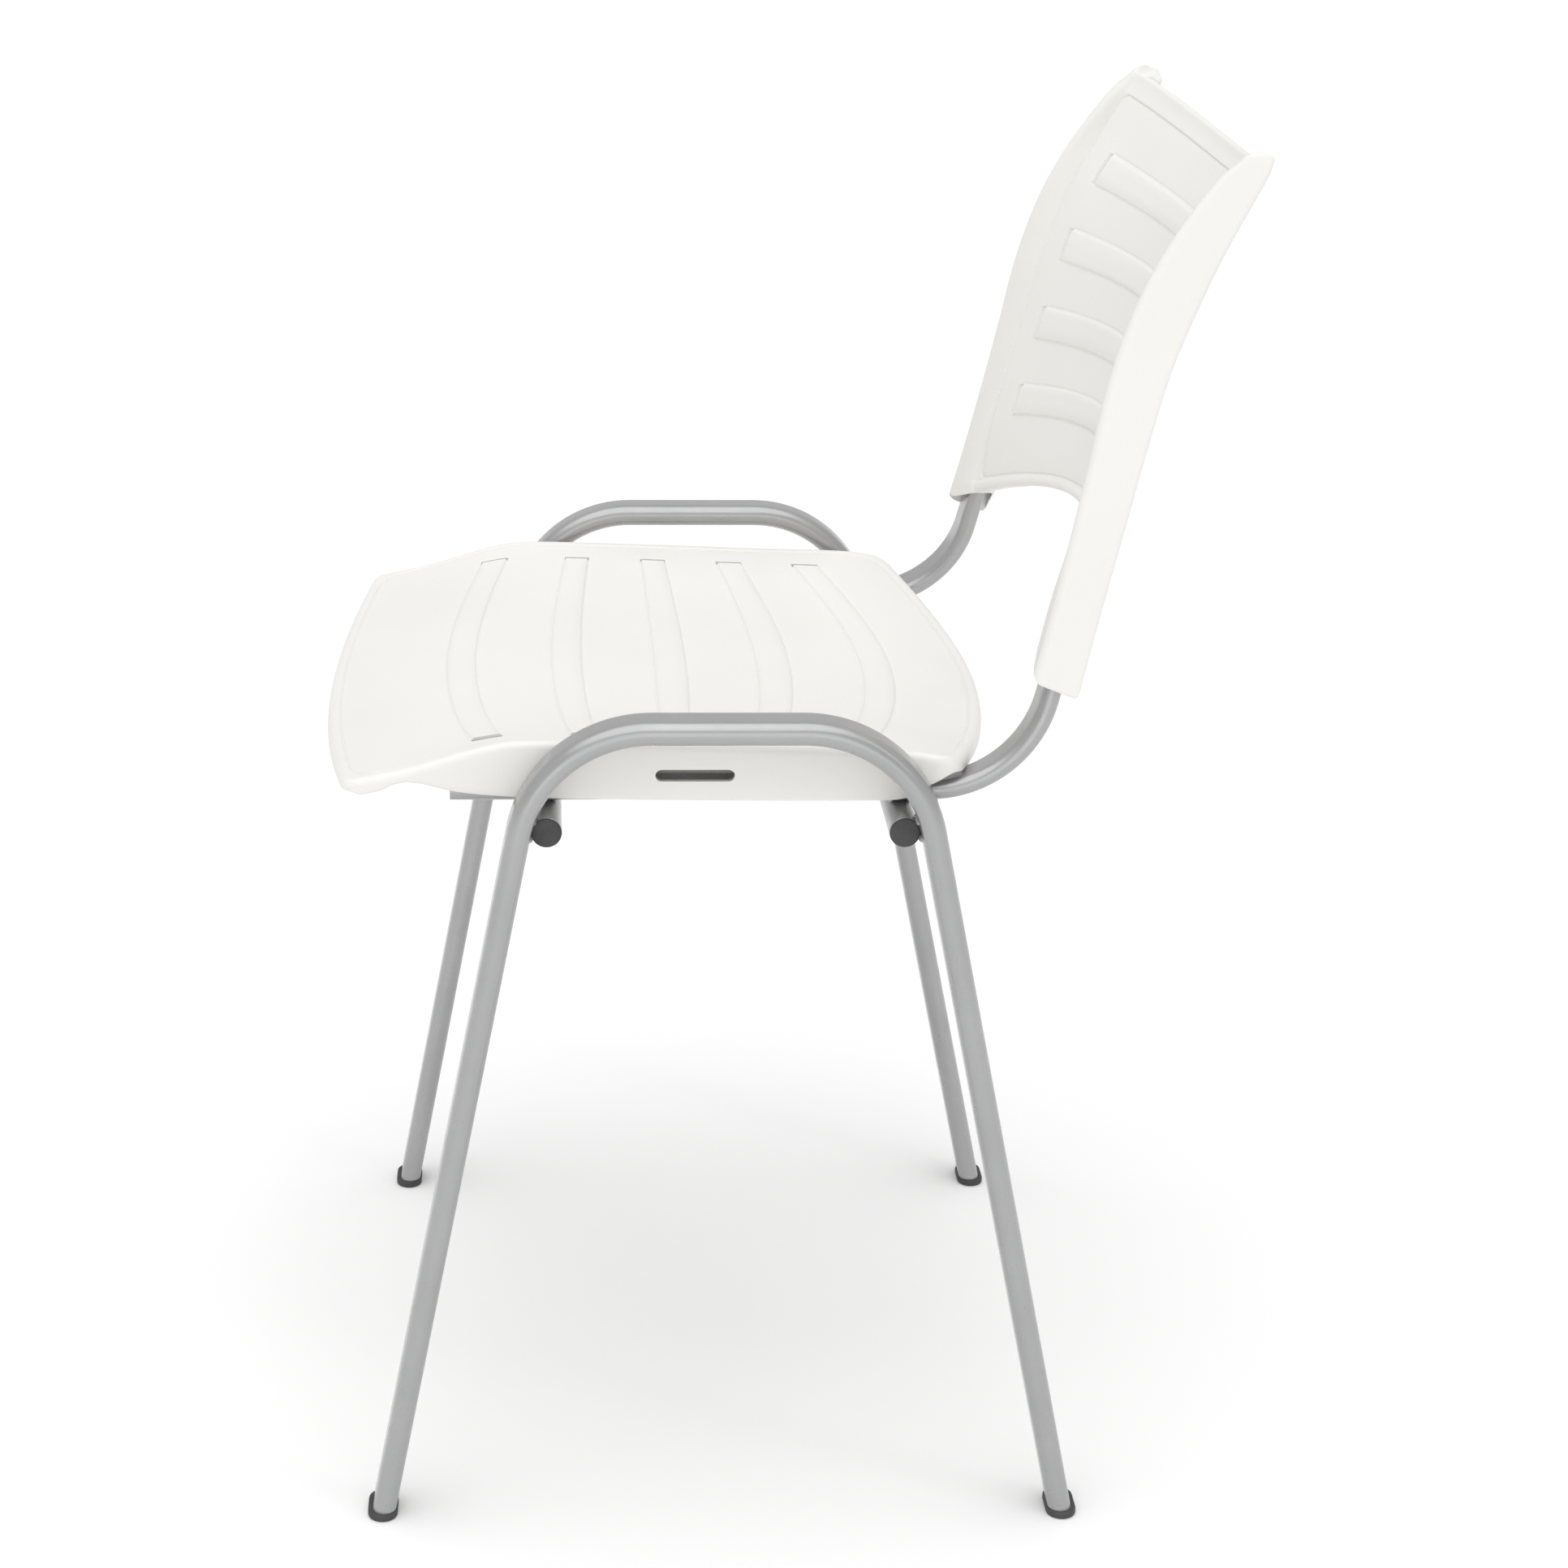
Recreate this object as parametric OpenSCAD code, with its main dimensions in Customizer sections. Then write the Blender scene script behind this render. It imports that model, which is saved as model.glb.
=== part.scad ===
// Stacking chair: welded flat-oval tube frame with a moulded seat shell and a moulded back shell.
// +X is the sitter's left, -Y is the front, +Z is up. The origin is on the floor, in the middle
// of the chair's outline. All lengths are millimetres and all angles are degrees.

/* [Tube] */
// Flat-oval tube, size across its wide faces
tube_w = 27.2; // [26.5:0.1:28]
// Flat-oval tube, size across its round edges
tube_t = 14; // [13.5:0.1:14.2]
// Thickness of the uprights' flat-oval tube, which is thinner than the legs'
upright_t = 11; // [10:0.1:11.5]
// Wall of every tube
tube_wall = 1.5; // [1.2:0.1:1.8]
// Outer diameter of the two round cross tubes
cross_d = 17.5; // [17:0.1:18]

/* [Leg frames] */
// Half the spread of the feet, front to back
foot_half_y = 208; // [200:1:214]
// Half the spread of the leg frames at the floor
foot_half_x = 218.2; // [216:0.1:222]
// Height of the arch's centre line
arch_z = 510; // [500:1:514]
// Backward slope of the front legs
front_tilt = 10.6; // [10:0.1:11.5]
// Forward slope of the rear legs
rear_tilt = 12.3; // [11.5:0.1:13]
// Outward lean of each leg frame towards its arch
frame_lean = 0.7; // [0:0.1:1]
// Centre-line radius of the arch's two corners
arch_r = 76; // [70:1:80]
// Centre height of the cross tubes
cross_z = 447.5; // [445:0.5:449]
// Half the length of the cross tubes
cross_half = 222.5; // [220:0.5:224]

/* [Back uprights] */
// Half the distance between the two runs under the seat
upright_half_x = 188; // [186:0.5:189]
// Front end of the run under the seat, ahead of the leg frames' middle
upright_front_y = -163; // [-165:1:-150]
// Rear end of the straight run under the seat
upright_bend_y = 110.5; // [108:0.5:112]
// Centre-line radius of the bend
upright_r = 68; // [66:1:70]
// Backward slope of the upper part
upright_tilt = 13; // [12.5:0.1:13.5]
// Inward lean of the upper part
upright_lean = 5; // [4.5:0.1:5.2]
// Length of the straight upper part
upright_len = 118; // [105:1:122]

/* [Seat] */
// Half the width of the seat
seat_half_w = 206; // [205:0.5:207]
// Wall of the seat and back shells
shell_wall = 3.2; // [3:0.1:3.5]
// Width of the slits at the ends of the bands
slit_w = 2.8; // [2:0.1:3]

/* [Feet] */
// Height of a foot's pad
pad_h = 4.5; // [4:0.5:6]
// Rim that a foot's pad shows round its tube
pad_rim = 2; // [1.5:0.5:2.5]

/* [Hidden] */

$fn = 48;
frame_grey = [0.68, 0.69, 0.70];
shell_white = [0.94, 0.94, 0.91];
plug_black = [0.12, 0.12, 0.13];
steel = [0.60, 0.61, 0.62];

bore_w = tube_w - 2 * tube_wall;
bore_t = tube_t - 2 * tube_wall;
upright_bore_t = upright_t - 2 * tube_wall;
fit_gap = 0.15;
weld_gap = 0.1;

// A bend is a hair thicker than the straight runs that reach into its ends, so that they fuse.
fuse = 0.5;
bend_grow = 0.05;
$grow = 0;

// The chair's outline runs from the seat's front edge to the back shell's rear edge.
seat_front_y = -242.5;
back_rear_y = 309.3;
mid_y = (seat_front_y + back_rear_y) / 2;

// Leg frame, seen along X: corners of the unrounded outline and lengths of its straight runs.
leg_below = 20;
front_turn = 90 - front_tilt;
rear_turn = 90 - rear_tilt;
front_tangent = arch_r * tan(front_turn / 2);
rear_tangent = arch_r * tan(rear_turn / 2);
front_corner_y = -foot_half_y + arch_z * tan(front_tilt);
rear_corner_y = foot_half_y - arch_z * tan(rear_tilt);
front_run = arch_z / cos(front_tilt) - front_tangent;
rear_run = arch_z / cos(rear_tilt) - rear_tangent;
top_run = rear_corner_y - front_corner_y - front_tangent - rear_tangent;

// The cross tubes touch the inner edges of the legs.
leg_to_cross = tube_t / 2 + cross_d / 2 + weld_gap;
front_cross_y = -foot_half_y + cross_z * tan(front_tilt) + leg_to_cross / cos(front_tilt);
rear_cross_y = foot_half_y - cross_z * tan(rear_tilt) - leg_to_cross / cos(rear_tilt);

// The runs under the seat rest on the cross tubes.
lean_rise = (tube_w - upright_t) / 2 * sin(upright_lean);
upright_z = cross_z + cross_d / 2 + upright_t / 2 + lean_rise + weld_gap;
upright_turn = 90 - upright_tilt;

// Fixing points of the shells.
screw_d = 4.6;
head_d = 8.5;
head_h = 2.6;
head_cross = [5, 1.1, 2.4];
washer_d = 10;
washer_h = 1;
access_d = 11;
boss_d = 13;
boss_gap = 0.6;
boss_low = upright_z + upright_t / 2 + boss_gap;
// The seat's screws bear on the inner side of the run's upper wall, which leans a little.
seat_head_z = upright_z + upright_bore_t / 2 - washer_d / 2 * sin(upright_lean) - weld_gap - washer_h;
seat_screw_reach = 7.5;
seat_screw_y = [-132, 62];
back_screw_up = 70;

// Smooth curve through [x, value] points, used for the shells' profiles.
function knot(p, x, i = 0) = i >= len(p) - 2 || x < p[i + 1][0] ? i : knot(p, x, i + 1);
function rise(p, a, b) = (p[b][1] - p[a][1]) / (p[b][0] - p[a][0]);
function slope(p, i) = rise(p, max(i - 1, 0), min(i + 1, len(p) - 1));
function hermite(a, b, da, db, t) =
    (2 * t * t * t - 3 * t * t + 1) * a + (3 * t * t - 2 * t * t * t) * b
    + (t * t * t - 2 * t * t + t) * da + (t * t * t - t * t) * db;
function smooth(p, x) =
    let (i = knot(p, x), h = p[i + 1][0] - p[i][0], t = (x - p[i][0]) / h)
    hermite(p[i][1], p[i + 1][1], h * slope(p, i), h * slope(p, i + 1), t);
function mix(a, b, t) = a + (b - a) * t;

// Seat: heights along its middle and along its side edges, as [y, z].
seat_mid_z = [[-243, 460], [-205, 471.5], [-165, 478], [-120, 479.5], [0, 476.5], [90, 473], [161, 468]];
seat_side_z = [
    [-218, 472], [-185, 479.5], [-145, 492], [-125, 495.5], [-60, 494.5], [41, 491], [100, 489], [130, 484]
];
seat_depth = 403;
// Forward bow of a line across the seat, against its place from front (0) to back (1).
seat_bow = [[0, 13], [0.2, 17], [0.365, 8], [0.526, -4], [0.686, -15.5], [0.85, -28], [1, -24]];
bow_at = 170;
front_corner_r = 9;
rear_corner_r = 13;
// Lower edge of the side skirts, as [y, z]; it rises into a notch behind the front corner.
skirt_low = [
    [-219, 465], [-213, 463.8], [-202, 466.3], [-194, 470], [-186, 471.2], [-176, 469.5], [-160, 465.5],
    [-130, 462.5], [-60, 460.5], [84, 460], [98, 462], [110, 469.5], [125, 475]
];
lip_front = 7;
lip_rear = 9;
dish_power = 2.6;
seat_rows = [
    0, 0.02, 0.045, 0.075, 0.105, 0.14, 0.18, 0.225, 0.285, 0.344, 0.388, 0.445, 0.5, 0.55, 0.605,
    0.66, 0.711, 0.77, 0.825, 0.87, 0.91, 0.945, 0.975, 1
];
seat_cols = [0, 0.17, 0.34, 0.5, 0.64, 0.76, 0.86, 0.925, 0.965, 0.99, 1];

function both(half) = concat([for (i = [len(half) - 1:-1:1]) -half[i]], half);
function corner(x, r) = x > seat_half_w - r ? r - sqrt(max(r * r - pow(x - seat_half_w + r, 2), 0)) : 0;
// Shares of the seat's depth over which its front and rear corners fade into the side edges.
front_fade = 0.09;
rear_fade = 0.14;
function seat_y(x, v) =
    let (ax = abs(x), f = max(1 - v / front_fade, 0), b = max((v - 1 + rear_fade) / rear_fade, 0))
    seat_front_y + seat_depth * v + smooth(seat_bow, v) * pow(ax / bow_at, 2)
    + corner(ax, front_corner_r) * f * f - corner(ax, rear_corner_r) * b * b;
function seat_z(x, y) =
    let (y0 = max(y, -243), y1 = min(max(y, -218), 130))
    mix(smooth(seat_mid_z, y0), smooth(seat_side_z, y1), pow(abs(x) / seat_half_w, dish_power));
function skirt_z(y) = smooth(skirt_low, min(max(y, -219), 125));

// A curved sheet given as rows of points, closed by a second sheet under it.
// Rows run anticlockwise seen from the first sheet's outside.
function flat_list(rows) = [for (r = rows) for (p = r) p];
function quad(a, b, c, d) = [[a, b, c], [a, c, d]];
module thick_sheet(upper, lower) {
    nr = len(upper);
    nc = len(upper[0]);
    n = nr * nc;
    grid = [
        for (j = [0:nr - 2]) for (i = [0:nc - 2])
        let (a = j * nc + i)
        [a, a + 1, a + nc + 1, a + nc]
    ];
    edge = concat(
        [for (i = [0:nc - 2]) [i, i + 1]],
        [for (j = [0:nr - 2]) [j * nc + nc - 1, (j + 1) * nc + nc - 1]],
        [for (i = [nc - 1:-1:1]) [(nr - 1) * nc + i, (nr - 1) * nc + i - 1]],
        [for (j = [nr - 1:-1:1]) [j * nc, (j - 1) * nc]]
    );
    faces = concat(
        [for (q = grid) for (t = quad(q[3], q[2], q[1], q[0])) t],
        [for (q = grid) for (t = quad(q[0] + n, q[1] + n, q[2] + n, q[3] + n)) t],
        [for (e = edge) for (t = quad(e[0], e[1], e[1] + n, e[0] + n)) t]
    );
    polyhedron(points = concat(flat_list(upper), flat_list(lower)), faces = faces, convexity = 8);
}

// A closed tube of rings, each a list of the same number of points, capped at both ends.
module lofted(rings) {
    nr = len(rings);
    nc = len(rings[0]);
    sides = [
        for (j = [0:nr - 2]) for (i = [0:nc - 1])
        let (next = (i + 1) % nc, a = j * nc, b = a + nc)
        [a + i, a + next, b + next, b + i]
    ];
    faces = concat(
        [for (q = sides) for (t = quad(q[3], q[2], q[1], q[0])) t],
        [[for (i = [0:nc - 1]) i]],
        [[for (i = [nc - 1:-1:0]) (nr - 1) * nc + i]]
    );
    polyhedron(points = flat_list(rings), faces = faces, convexity = 6);
}

module placed() {
    translate([0, -mid_y, 0]) children();
}

// Flat-oval outline with its wide side along x.
module oval(w, t) {
    square([w - t, t + $grow], center = true);
    for (s = [-1, 1]) translate([s * (w - t) / 2, 0]) circle(d = t + $grow);
}

// One bend of a tube that heads up and turns towards +Y.
module bend(r, angle) {
    $grow = bend_grow;
    translate([0, r, 0]) rotate([90, 0, -90])
        rotate_extrude(angle = angle) translate([r, 0]) rotate(90) children();
}

// Straight run along +Z that reaches a little into the bends at its ends.
module straight(length) {
    translate([0, 0, -fuse]) linear_extrude(length + 2 * fuse) children();
}

// A tube that heads up from the origin. Each run is [straight length, turn towards +Y after it].
module bent_tube(runs, r, i = 0) {
    straight(runs[i][0]) children();
    if (i < len(runs) - 1) {
        turn = runs[i][1];
        translate([0, 0, runs[i][0]]) {
            bend(r, turn) children();
            translate([0, r * (1 - cos(turn)), r * sin(turn)]) rotate([-turn, 0, 0])
                bent_tube(runs, r, i + 1) children();
        }
    }
}

// The plane of a leg frame, side +1 on the sitter's left.
module leg_plane(side) {
    placed() translate([side * foot_half_x, 0, 0]) rotate([0, side * frame_lean, 0]) children();
}

leg_runs = [[front_run + leg_below, front_turn], [top_run, rear_turn], [rear_run + leg_below, 0]];

module leg_tube(side) {
    leg_plane(side) translate([0, -foot_half_y, 0]) rotate([-front_tilt, 0, 0])
        translate([0, 0, -leg_below]) bent_tube(leg_runs, arch_r) children();
}

// Block that cuts the leg ends level with the top of the pads.
cut_size = [100, 700, 100];

module leg_frame(side) {
    color(frame_grey) difference() {
        leg_tube(side) oval(tube_w, tube_t);
        leg_tube(side) oval(bore_w, bore_t);
        translate([side * foot_half_x, 0, pad_h - cut_size[2] / 2]) cube(cut_size, center = true);
    }
}

module left_leg_frame() { leg_frame(1); }
module right_leg_frame() { leg_frame(-1); }

module along_x(y, z, half, d) {
    translate([-half, y - mid_y, z]) rotate([0, 90, 0]) cylinder(d = d, h = 2 * half);
}

module cross_tube(y) {
    color(frame_grey) difference() {
        along_x(y, cross_z, cross_half, cross_d);
        along_x(y, cross_z, cross_half + 1, cross_d - 2 * tube_wall);
    }
}

module front_cross_tube() { cross_tube(front_cross_y); }
module rear_cross_tube() { cross_tube(rear_cross_y); }

// The plane of a back upright, with its origin on the centre line of the run under the seat.
module upright_plane(side) {
    placed() translate([side * upright_half_x, 0, upright_z])
        rotate([0, -side * upright_lean, 0]) children();
}

// The axis of an upright's upper part, from the end of its bend.
module upright_top_axis(side) {
    bend_end = upright_r * [0, sin(upright_turn), 1 - cos(upright_turn)];
    upright_plane(side) translate([0, upright_bend_y, 0] + bend_end)
        rotate([-upright_tilt, 0, 0]) children();
}

module upright_tube(side) {
    upright_plane(side) {
        translate([0, upright_front_y, 0]) rotate([-90, 0, 0])
            straight(upright_bend_y - upright_front_y) children();
        translate([0, upright_bend_y, 0]) rotate([-90, 0, 0]) rotate([0, 0, 180])
            bend(upright_r, upright_turn) children();
    }
    upright_top_axis(side) straight(upright_len) children();
}

module under_screws(d, h, z) {
    for (y = seat_screw_y) translate([upright_half_x, y - mid_y, z]) cylinder(d = d, h = h);
}

module back_screw_axis(side) {
    upright_top_axis(side) translate([0, 0, back_screw_up]) rotate([-90, 0, 0]) children();
}

module back_upright(side) {
    color(frame_grey) difference() {
        upright_tube(side) oval(tube_w, upright_t);
        upright_tube(side) oval(bore_w, upright_bore_t);
        scale_side(side) under_screws(screw_d + 0.8, upright_t, upright_z);
        scale_side(side) under_screws(access_d, upright_t, upright_z - upright_t);
        back_screw_axis(side) cylinder(d = screw_d, h = upright_t);
    }
}

// Mirrors a shape of the left side to the given side.
module scale_side(side) {
    if (side > 0) children();
    else mirror([1, 0, 0]) children();
}

module left_back_upright() { back_upright(1); }
module right_back_upright() { back_upright(-1); }

// Seat shell: dished top, rounded front and rear lips, side skirts.
skirt_blend = 30;
function seat_point(x, v) = let (y = seat_y(x, v)) [x, y, seat_z(x, y)];
// The rim's lower edge: a lip along the front and rear that runs into the side skirts.
function rim_point(x, v) =
    let (p = seat_point(x, v), lip = p[2] - (v > 0.5 ? lip_rear : lip_front))
    [x, p[1], mix(lip, skirt_z(p[1]), pow(abs(x) / seat_half_w, skirt_blend))];

seat_x = [for (u = both(seat_cols)) u * seat_half_w];

module seat_panel() {
    upper = [for (v = seat_rows) [for (x = seat_x) seat_point(x, v)]];
    lower = [for (v = seat_rows) [for (x = seat_x) seat_point(x, v) - [0, 0, shell_wall]]];
    thick_sheet(upper, lower);
}

// The rim under the panel's outline: a closed band that follows it.
function outline_pts() = concat(
    [for (x = seat_x) [x, 0]],
    [for (i = [1:len(seat_rows) - 1]) [seat_half_w, seat_rows[i]]],
    [for (i = [len(seat_x) - 2:-1:0]) [seat_x[i], 1]],
    [for (i = [len(seat_rows) - 2:-1:1]) [-seat_half_w, seat_rows[i]]]
);

module seat_rim() {
    ring = outline_pts();
    n = len(ring);
    outer = [for (p = ring) seat_point(p[0], p[1])];
    low = [for (p = ring) rim_point(p[0], p[1])];
    normal = [
        for (i = [0:n - 1])
        let (a = outer[(i + n - 1) % n], b = outer[(i + 1) % n], d = [b[1] - a[1], a[0] - b[0], 0])
        d / norm(d)
    ];
    inner_low = [for (i = [0:n - 1]) low[i] - shell_wall * normal[i]];
    inner = [for (i = [0:n - 1]) outer[i] - shell_wall * normal[i] - [0, 0, shell_wall / 2]];
    loops = [outer, low, inner_low, inner];
    faces = [
        for (k = [0:3]) for (i = [0:n - 1])
        let (next = (i + 1) % n, a = k * n, b = ((k + 1) % 4) * n)
        for (t = quad(a + i, a + next, b + next, b + i)) t
    ];
    polyhedron(points = flat_list(loops), faces = faces, convexity = 8);
}

// Places of the bands: [middle of the band along the seat's middle, bow].
seat_bands = [[0.204, 17], [0.366, 8], [0.526, -4], [0.686, -15.5], [0.848, -28]];
band_w = 19;
seat_slit_x = 179;
seat_slit_z = 484;
slit_cut = 30;

module seat_slits() {
    for (b = seat_bands, s = [-1, 1])
        let (y = seat_front_y + seat_depth * b[0] + b[1] * pow(seat_slit_x / bow_at, 2))
        translate([s * seat_slit_x, y - mid_y, seat_slit_z])
        cube([slit_w, band_w, slit_cut], center = true);
}

// Long hole through each side skirt.
slot_y = [-46.5, -1.5];
slot_z = 475.5;
slot_h = 7;
slot_cut = 12;

module skirt_slots() {
    for (s = [-1, 1]) {
        for (y = [slot_y[0] + slot_h / 2, slot_y[1] - slot_h / 2])
            translate([s * seat_half_w, y - mid_y, slot_z]) rotate([0, 90, 0])
            cylinder(d = slot_h, h = slot_cut, center = true);
        translate([s * seat_half_w, (slot_y[0] + slot_y[1]) / 2 - mid_y, slot_z])
            cube([slot_cut, slot_y[1] - slot_y[0] - slot_h, slot_h], center = true);
    }
}

module seat_bosses() {
    for (s = [-1, 1]) scale_side(s) for (y = seat_screw_y)
        translate([upright_half_x, y - mid_y, boss_low])
        cylinder(d = boss_d, h = seat_z(upright_half_x - boss_d / 2, y) - shell_wall / 2 - boss_low);
}

module seat_shell() {
    color(shell_white) difference() {
        union() {
            placed() seat_panel();
            placed() seat_rim();
            seat_bosses();
        }
        seat_slits();
        skirt_slots();
        for (s = [-1, 1]) scale_side(s) under_screws(screw_d, seat_screw_reach + 1, boss_low - 0.5);
    }
}

// Back shell: front surface along its middle, as [z, y], and how far its sides stand forward.
back_mid_y = [
    [540, 223.6], [580, 226.2], [620, 234.3], [660, 243.9], [700, 254.4], [740, 268.5], [770, 285],
    [800, 309], [825, 338]
];
back_wrap = 44;
back_wrap_top = 20;
back_half_w = 172;
// Front and rear edges of a side rail, as [z, y].
rail_front = [
    [516, 163], [536, 168.5], [600, 182], [650, 192], [695, 200.5], [735, 212.5], [765, 226.5],
    [792, 243.7], [812, 260], [821, 273]
];
rail_rear = [
    [516, 191], [610, 213], [664, 225.4], [701, 235], [735, 247.5], [764, 260], [790, 273], [811, 283],
    [821, 288]
];
rail_front_low = 529;
rail_rear_low = 518.5;
rail_in_rise = 11;
rail_top_z = 821;
rail_out_low = 198.5;
rail_out_top = 172.5;
rail_in_w = [[520, 31.5], [660, 30.5], [740, 24], [822, 17]];
// Heights of the rail's outer width at its two ends, and of the panel's tighter wrap.
rail_span = [527, 820];
wrap_span = [760, 820];
// A line across the panel stays level at the middle height and bows more away from it.
panel_bow = [690, 4.6, 0.281];

function rail_out(z) =
    mix(rail_out_low, rail_out_top, (z - rail_span[0]) / (rail_span[1] - rail_span[0]));
function rail_in(z) = rail_out(z) - smooth(rail_in_w, z);
function wrap_at(z) =
    back_wrap + back_wrap_top * pow(max(z - wrap_span[0], 0) / (wrap_span[1] - wrap_span[0]), 2);
function panel_y(x, z) = smooth(back_mid_y, z) - wrap_at(z) * pow(x / back_half_w, 2);
// A line across the panel that is at height zc in the middle.
function panel_z(x, zc) =
    zc - (panel_bow[1] - panel_bow[2] * (zc - panel_bow[0])) * pow(x / back_half_w, 2);

panel_low = 574.8;
panel_top = 794.8;
panel_in = 10;
panel_rows = [for (v = [0:0.0625:1]) mix(panel_low, panel_top, v)];
panel_cols = [0, 0.15, 0.3, 0.45, 0.6, 0.74, 0.87, 1];

function panel_pt(u, zc) =
    let (x = u * (rail_out(zc + 10) - panel_in), z = panel_z(x, zc))
    [x, panel_y(x, z), z];

module back_panel() {
    front = [for (zc = panel_rows) [for (u = both(panel_cols)) panel_pt(u, zc)]];
    rear = [for (r = front) [for (p = r) p + [0, shell_wall, -0.25 * shell_wall]]];
    thick_sheet(front, rear);
}

lip_reach = 5;
lip_slope = 1.5;
lip_t = 3;
lip_cols = [0, 0.15, 0.3, 0.45, 0.6, 0.74, 0.84, 0.92];

// Rolled stiffening lips along the panel's top and bottom edges.
module back_lip(zc, up) {
    reach = [0, lip_reach, -up * lip_slope];
    front = [for (k = [0, 1]) [for (u = both(lip_cols)) panel_pt(u, zc) + k * reach]];
    shift = [0, -0.6 * up, -up * lip_t];
    back = [for (r = front) [for (p = r) p + shift]];
    if (up > 0) thick_sheet(front, back);
    else thick_sheet(back, front);
}

// Rounded section of a rail at one height, as 16 points between its front and rear edges.
rail_round = 5;
rail_in_fade = 0.12;
function rail_ring(t) =
    let (
        zf = mix(rail_front_low, rail_top_z, t),
        zr = mix(rail_rear_low, rail_top_z, t),
        yf = smooth(rail_front, zf),
        yr = smooth(rail_rear, zr),
        xo = rail_out((zf + zr) / 2),
        xi = rail_in((zf + zr) / 2),
        r = min(rail_round, (yr - yf) * 0.35),
        in_rise = rail_in_rise * max(1 - t / rail_in_fade, 0)
    )
    [
        for (k = [0:15])
        let (
            a = 22.5 * (k + 0.5),
            x = (cos(a) > 0 ? xo - r : xi + r) + r * cos(a),
            y = (sin(a) > 0 ? yr - r : yf + r) + r * sin(a)
        )
        [x, y, mix(zf, zr, (y - yf) / (yr - yf)) + in_rise * (xo - x) / (xo - xi)]
    ];

rail_steps = [0, 0.09, 0.18, 0.27, 0.36, 0.45, 0.53, 0.6, 0.67, 0.74, 0.8, 0.86, 0.91, 0.96, 1];

module rail() {
    lofted([for (t = rail_steps) rail_ring(t)]);
}

pocket_t = 20;
pocket_w = tube_w + 0.8;

pocket_ends = [-20, 4];

module pocket() {
    upright_top_axis(1) translate([0, 0, pocket_ends[0]])
        linear_extrude(upright_len + pocket_ends[1] - pocket_ends[0]) oval(pocket_w, pocket_t);
}

// Places of the bands: height of the middle of each along the panel's middle.
back_bands = [750.3, 710, 667.4, 624.9];
back_band_h = 15.5;
back_slit_x = 145;

module back_slits() {
    for (zc = back_bands, s = [-1, 1])
        let (z = panel_z(back_slit_x, zc), y = panel_y(back_slit_x, z))
        translate([s * back_slit_x, y - mid_y, z]) cube([slit_w, slit_cut, back_band_h + 3], center = true);
}

module back_shell() {
    color(shell_white) difference() {
        union() {
            placed() back_panel();
            placed() back_lip(panel_top, 1);
            placed() back_lip(panel_low, -1);
            for (s = [-1, 1]) scale_side(s) placed() rail();
        }
        for (s = [-1, 1]) scale_side(s) pocket();
        back_slits();
        for (s = [-1, 1]) back_screw_axis(s) cylinder(d = screw_d, h = 30);
    }
}

// Foot at the end of a leg: tilt is the slope of its leg, end is -1 at the front and +1 at the rear.
module foot(side, end, tilt) {
    color(plug_black) leg_foot(side, end, tilt);
}

spigot_top = 26;

module leg_foot(side, end, tilt) {
    pad_w = tube_w + 2 * pad_rim;
    pad_t = tube_t / cos(tilt) + 2 * pad_rim;
    pad_y = end * (foot_half_y - pad_h * tan(tilt) + pad_rim / 2);
    placed() translate([side * foot_half_x, pad_y, 0]) linear_extrude(pad_h) oval(pad_w, pad_t);
    intersection() {
        leg_plane(side) translate([0, end * foot_half_y, 0]) rotate([end * tilt, 0, 0])
            linear_extrude(spigot_top) oval(bore_w - 2 * fit_gap, bore_t - 2 * fit_gap);
        placed() translate([side * foot_half_x, end * foot_half_y, pad_h - 1 + spigot_top])
            cube(2 * spigot_top, center = true);
    }
}

module front_left_foot() { foot(1, -1, front_tilt); }
module front_right_foot() { foot(-1, -1, front_tilt); }
module rear_left_foot() { foot(1, 1, rear_tilt); }
module rear_right_foot() { foot(-1, 1, rear_tilt); }

// Plug in the end of a cross tube: a flush disc with a ribbed spigot.
plug_flange = 1.5;
plug_len = 16;
rib_pitch = 5;
rib_h = 1.5;
rib_reach = 0.8;

module tube_plug(side, y) {
    plug_d = cross_d - 2 * tube_wall;
    color(plug_black) scale_side(side) translate([cross_half, y - mid_y, cross_z]) rotate([0, 90, 0]) {
        cylinder(d = cross_d - 0.3, h = plug_flange);
        translate([0, 0, -plug_len]) cylinder(d = plug_d - 2 * rib_reach, h = plug_len + 0.5);
        for (k = [0:2])
            translate([0, 0, -plug_len + 2 + rib_pitch * k]) cylinder(d = plug_d - 2 * fit_gap, h = rib_h);
    }
}

module front_left_tube_plug() { tube_plug(1, front_cross_y); }
module front_right_tube_plug() { tube_plug(-1, front_cross_y); }
module rear_left_tube_plug() { tube_plug(1, rear_cross_y); }
module rear_right_tube_plug() { tube_plug(-1, rear_cross_y); }

// Weld beads in the valleys between a leg and a cross tube, above and below the contact.
leg_bead_d = 4.4;
leg_bead_len = 16;
leg_bead_up = 5.2;
arch_shift = 2;

module leg_bead(side, end) {
    tilt = end < 0 ? front_tilt : rear_tilt;
    contact_y = (end < 0 ? front_cross_y : rear_cross_y) + end * cross_d / 2 * cos(tilt);
    contact_z = cross_z + cross_d / 2 * sin(tilt);
    for (up = [-leg_bead_up, leg_bead_up]) {
        bead_y = contact_y - up * end * sin(tilt) - mid_y;
        translate([side * (foot_half_x + arch_shift), bead_y, contact_z + up * cos(tilt)])
            rotate([0, 90, 0]) cylinder(d = leg_bead_d, h = leg_bead_len, center = true);
    }
}

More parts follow.
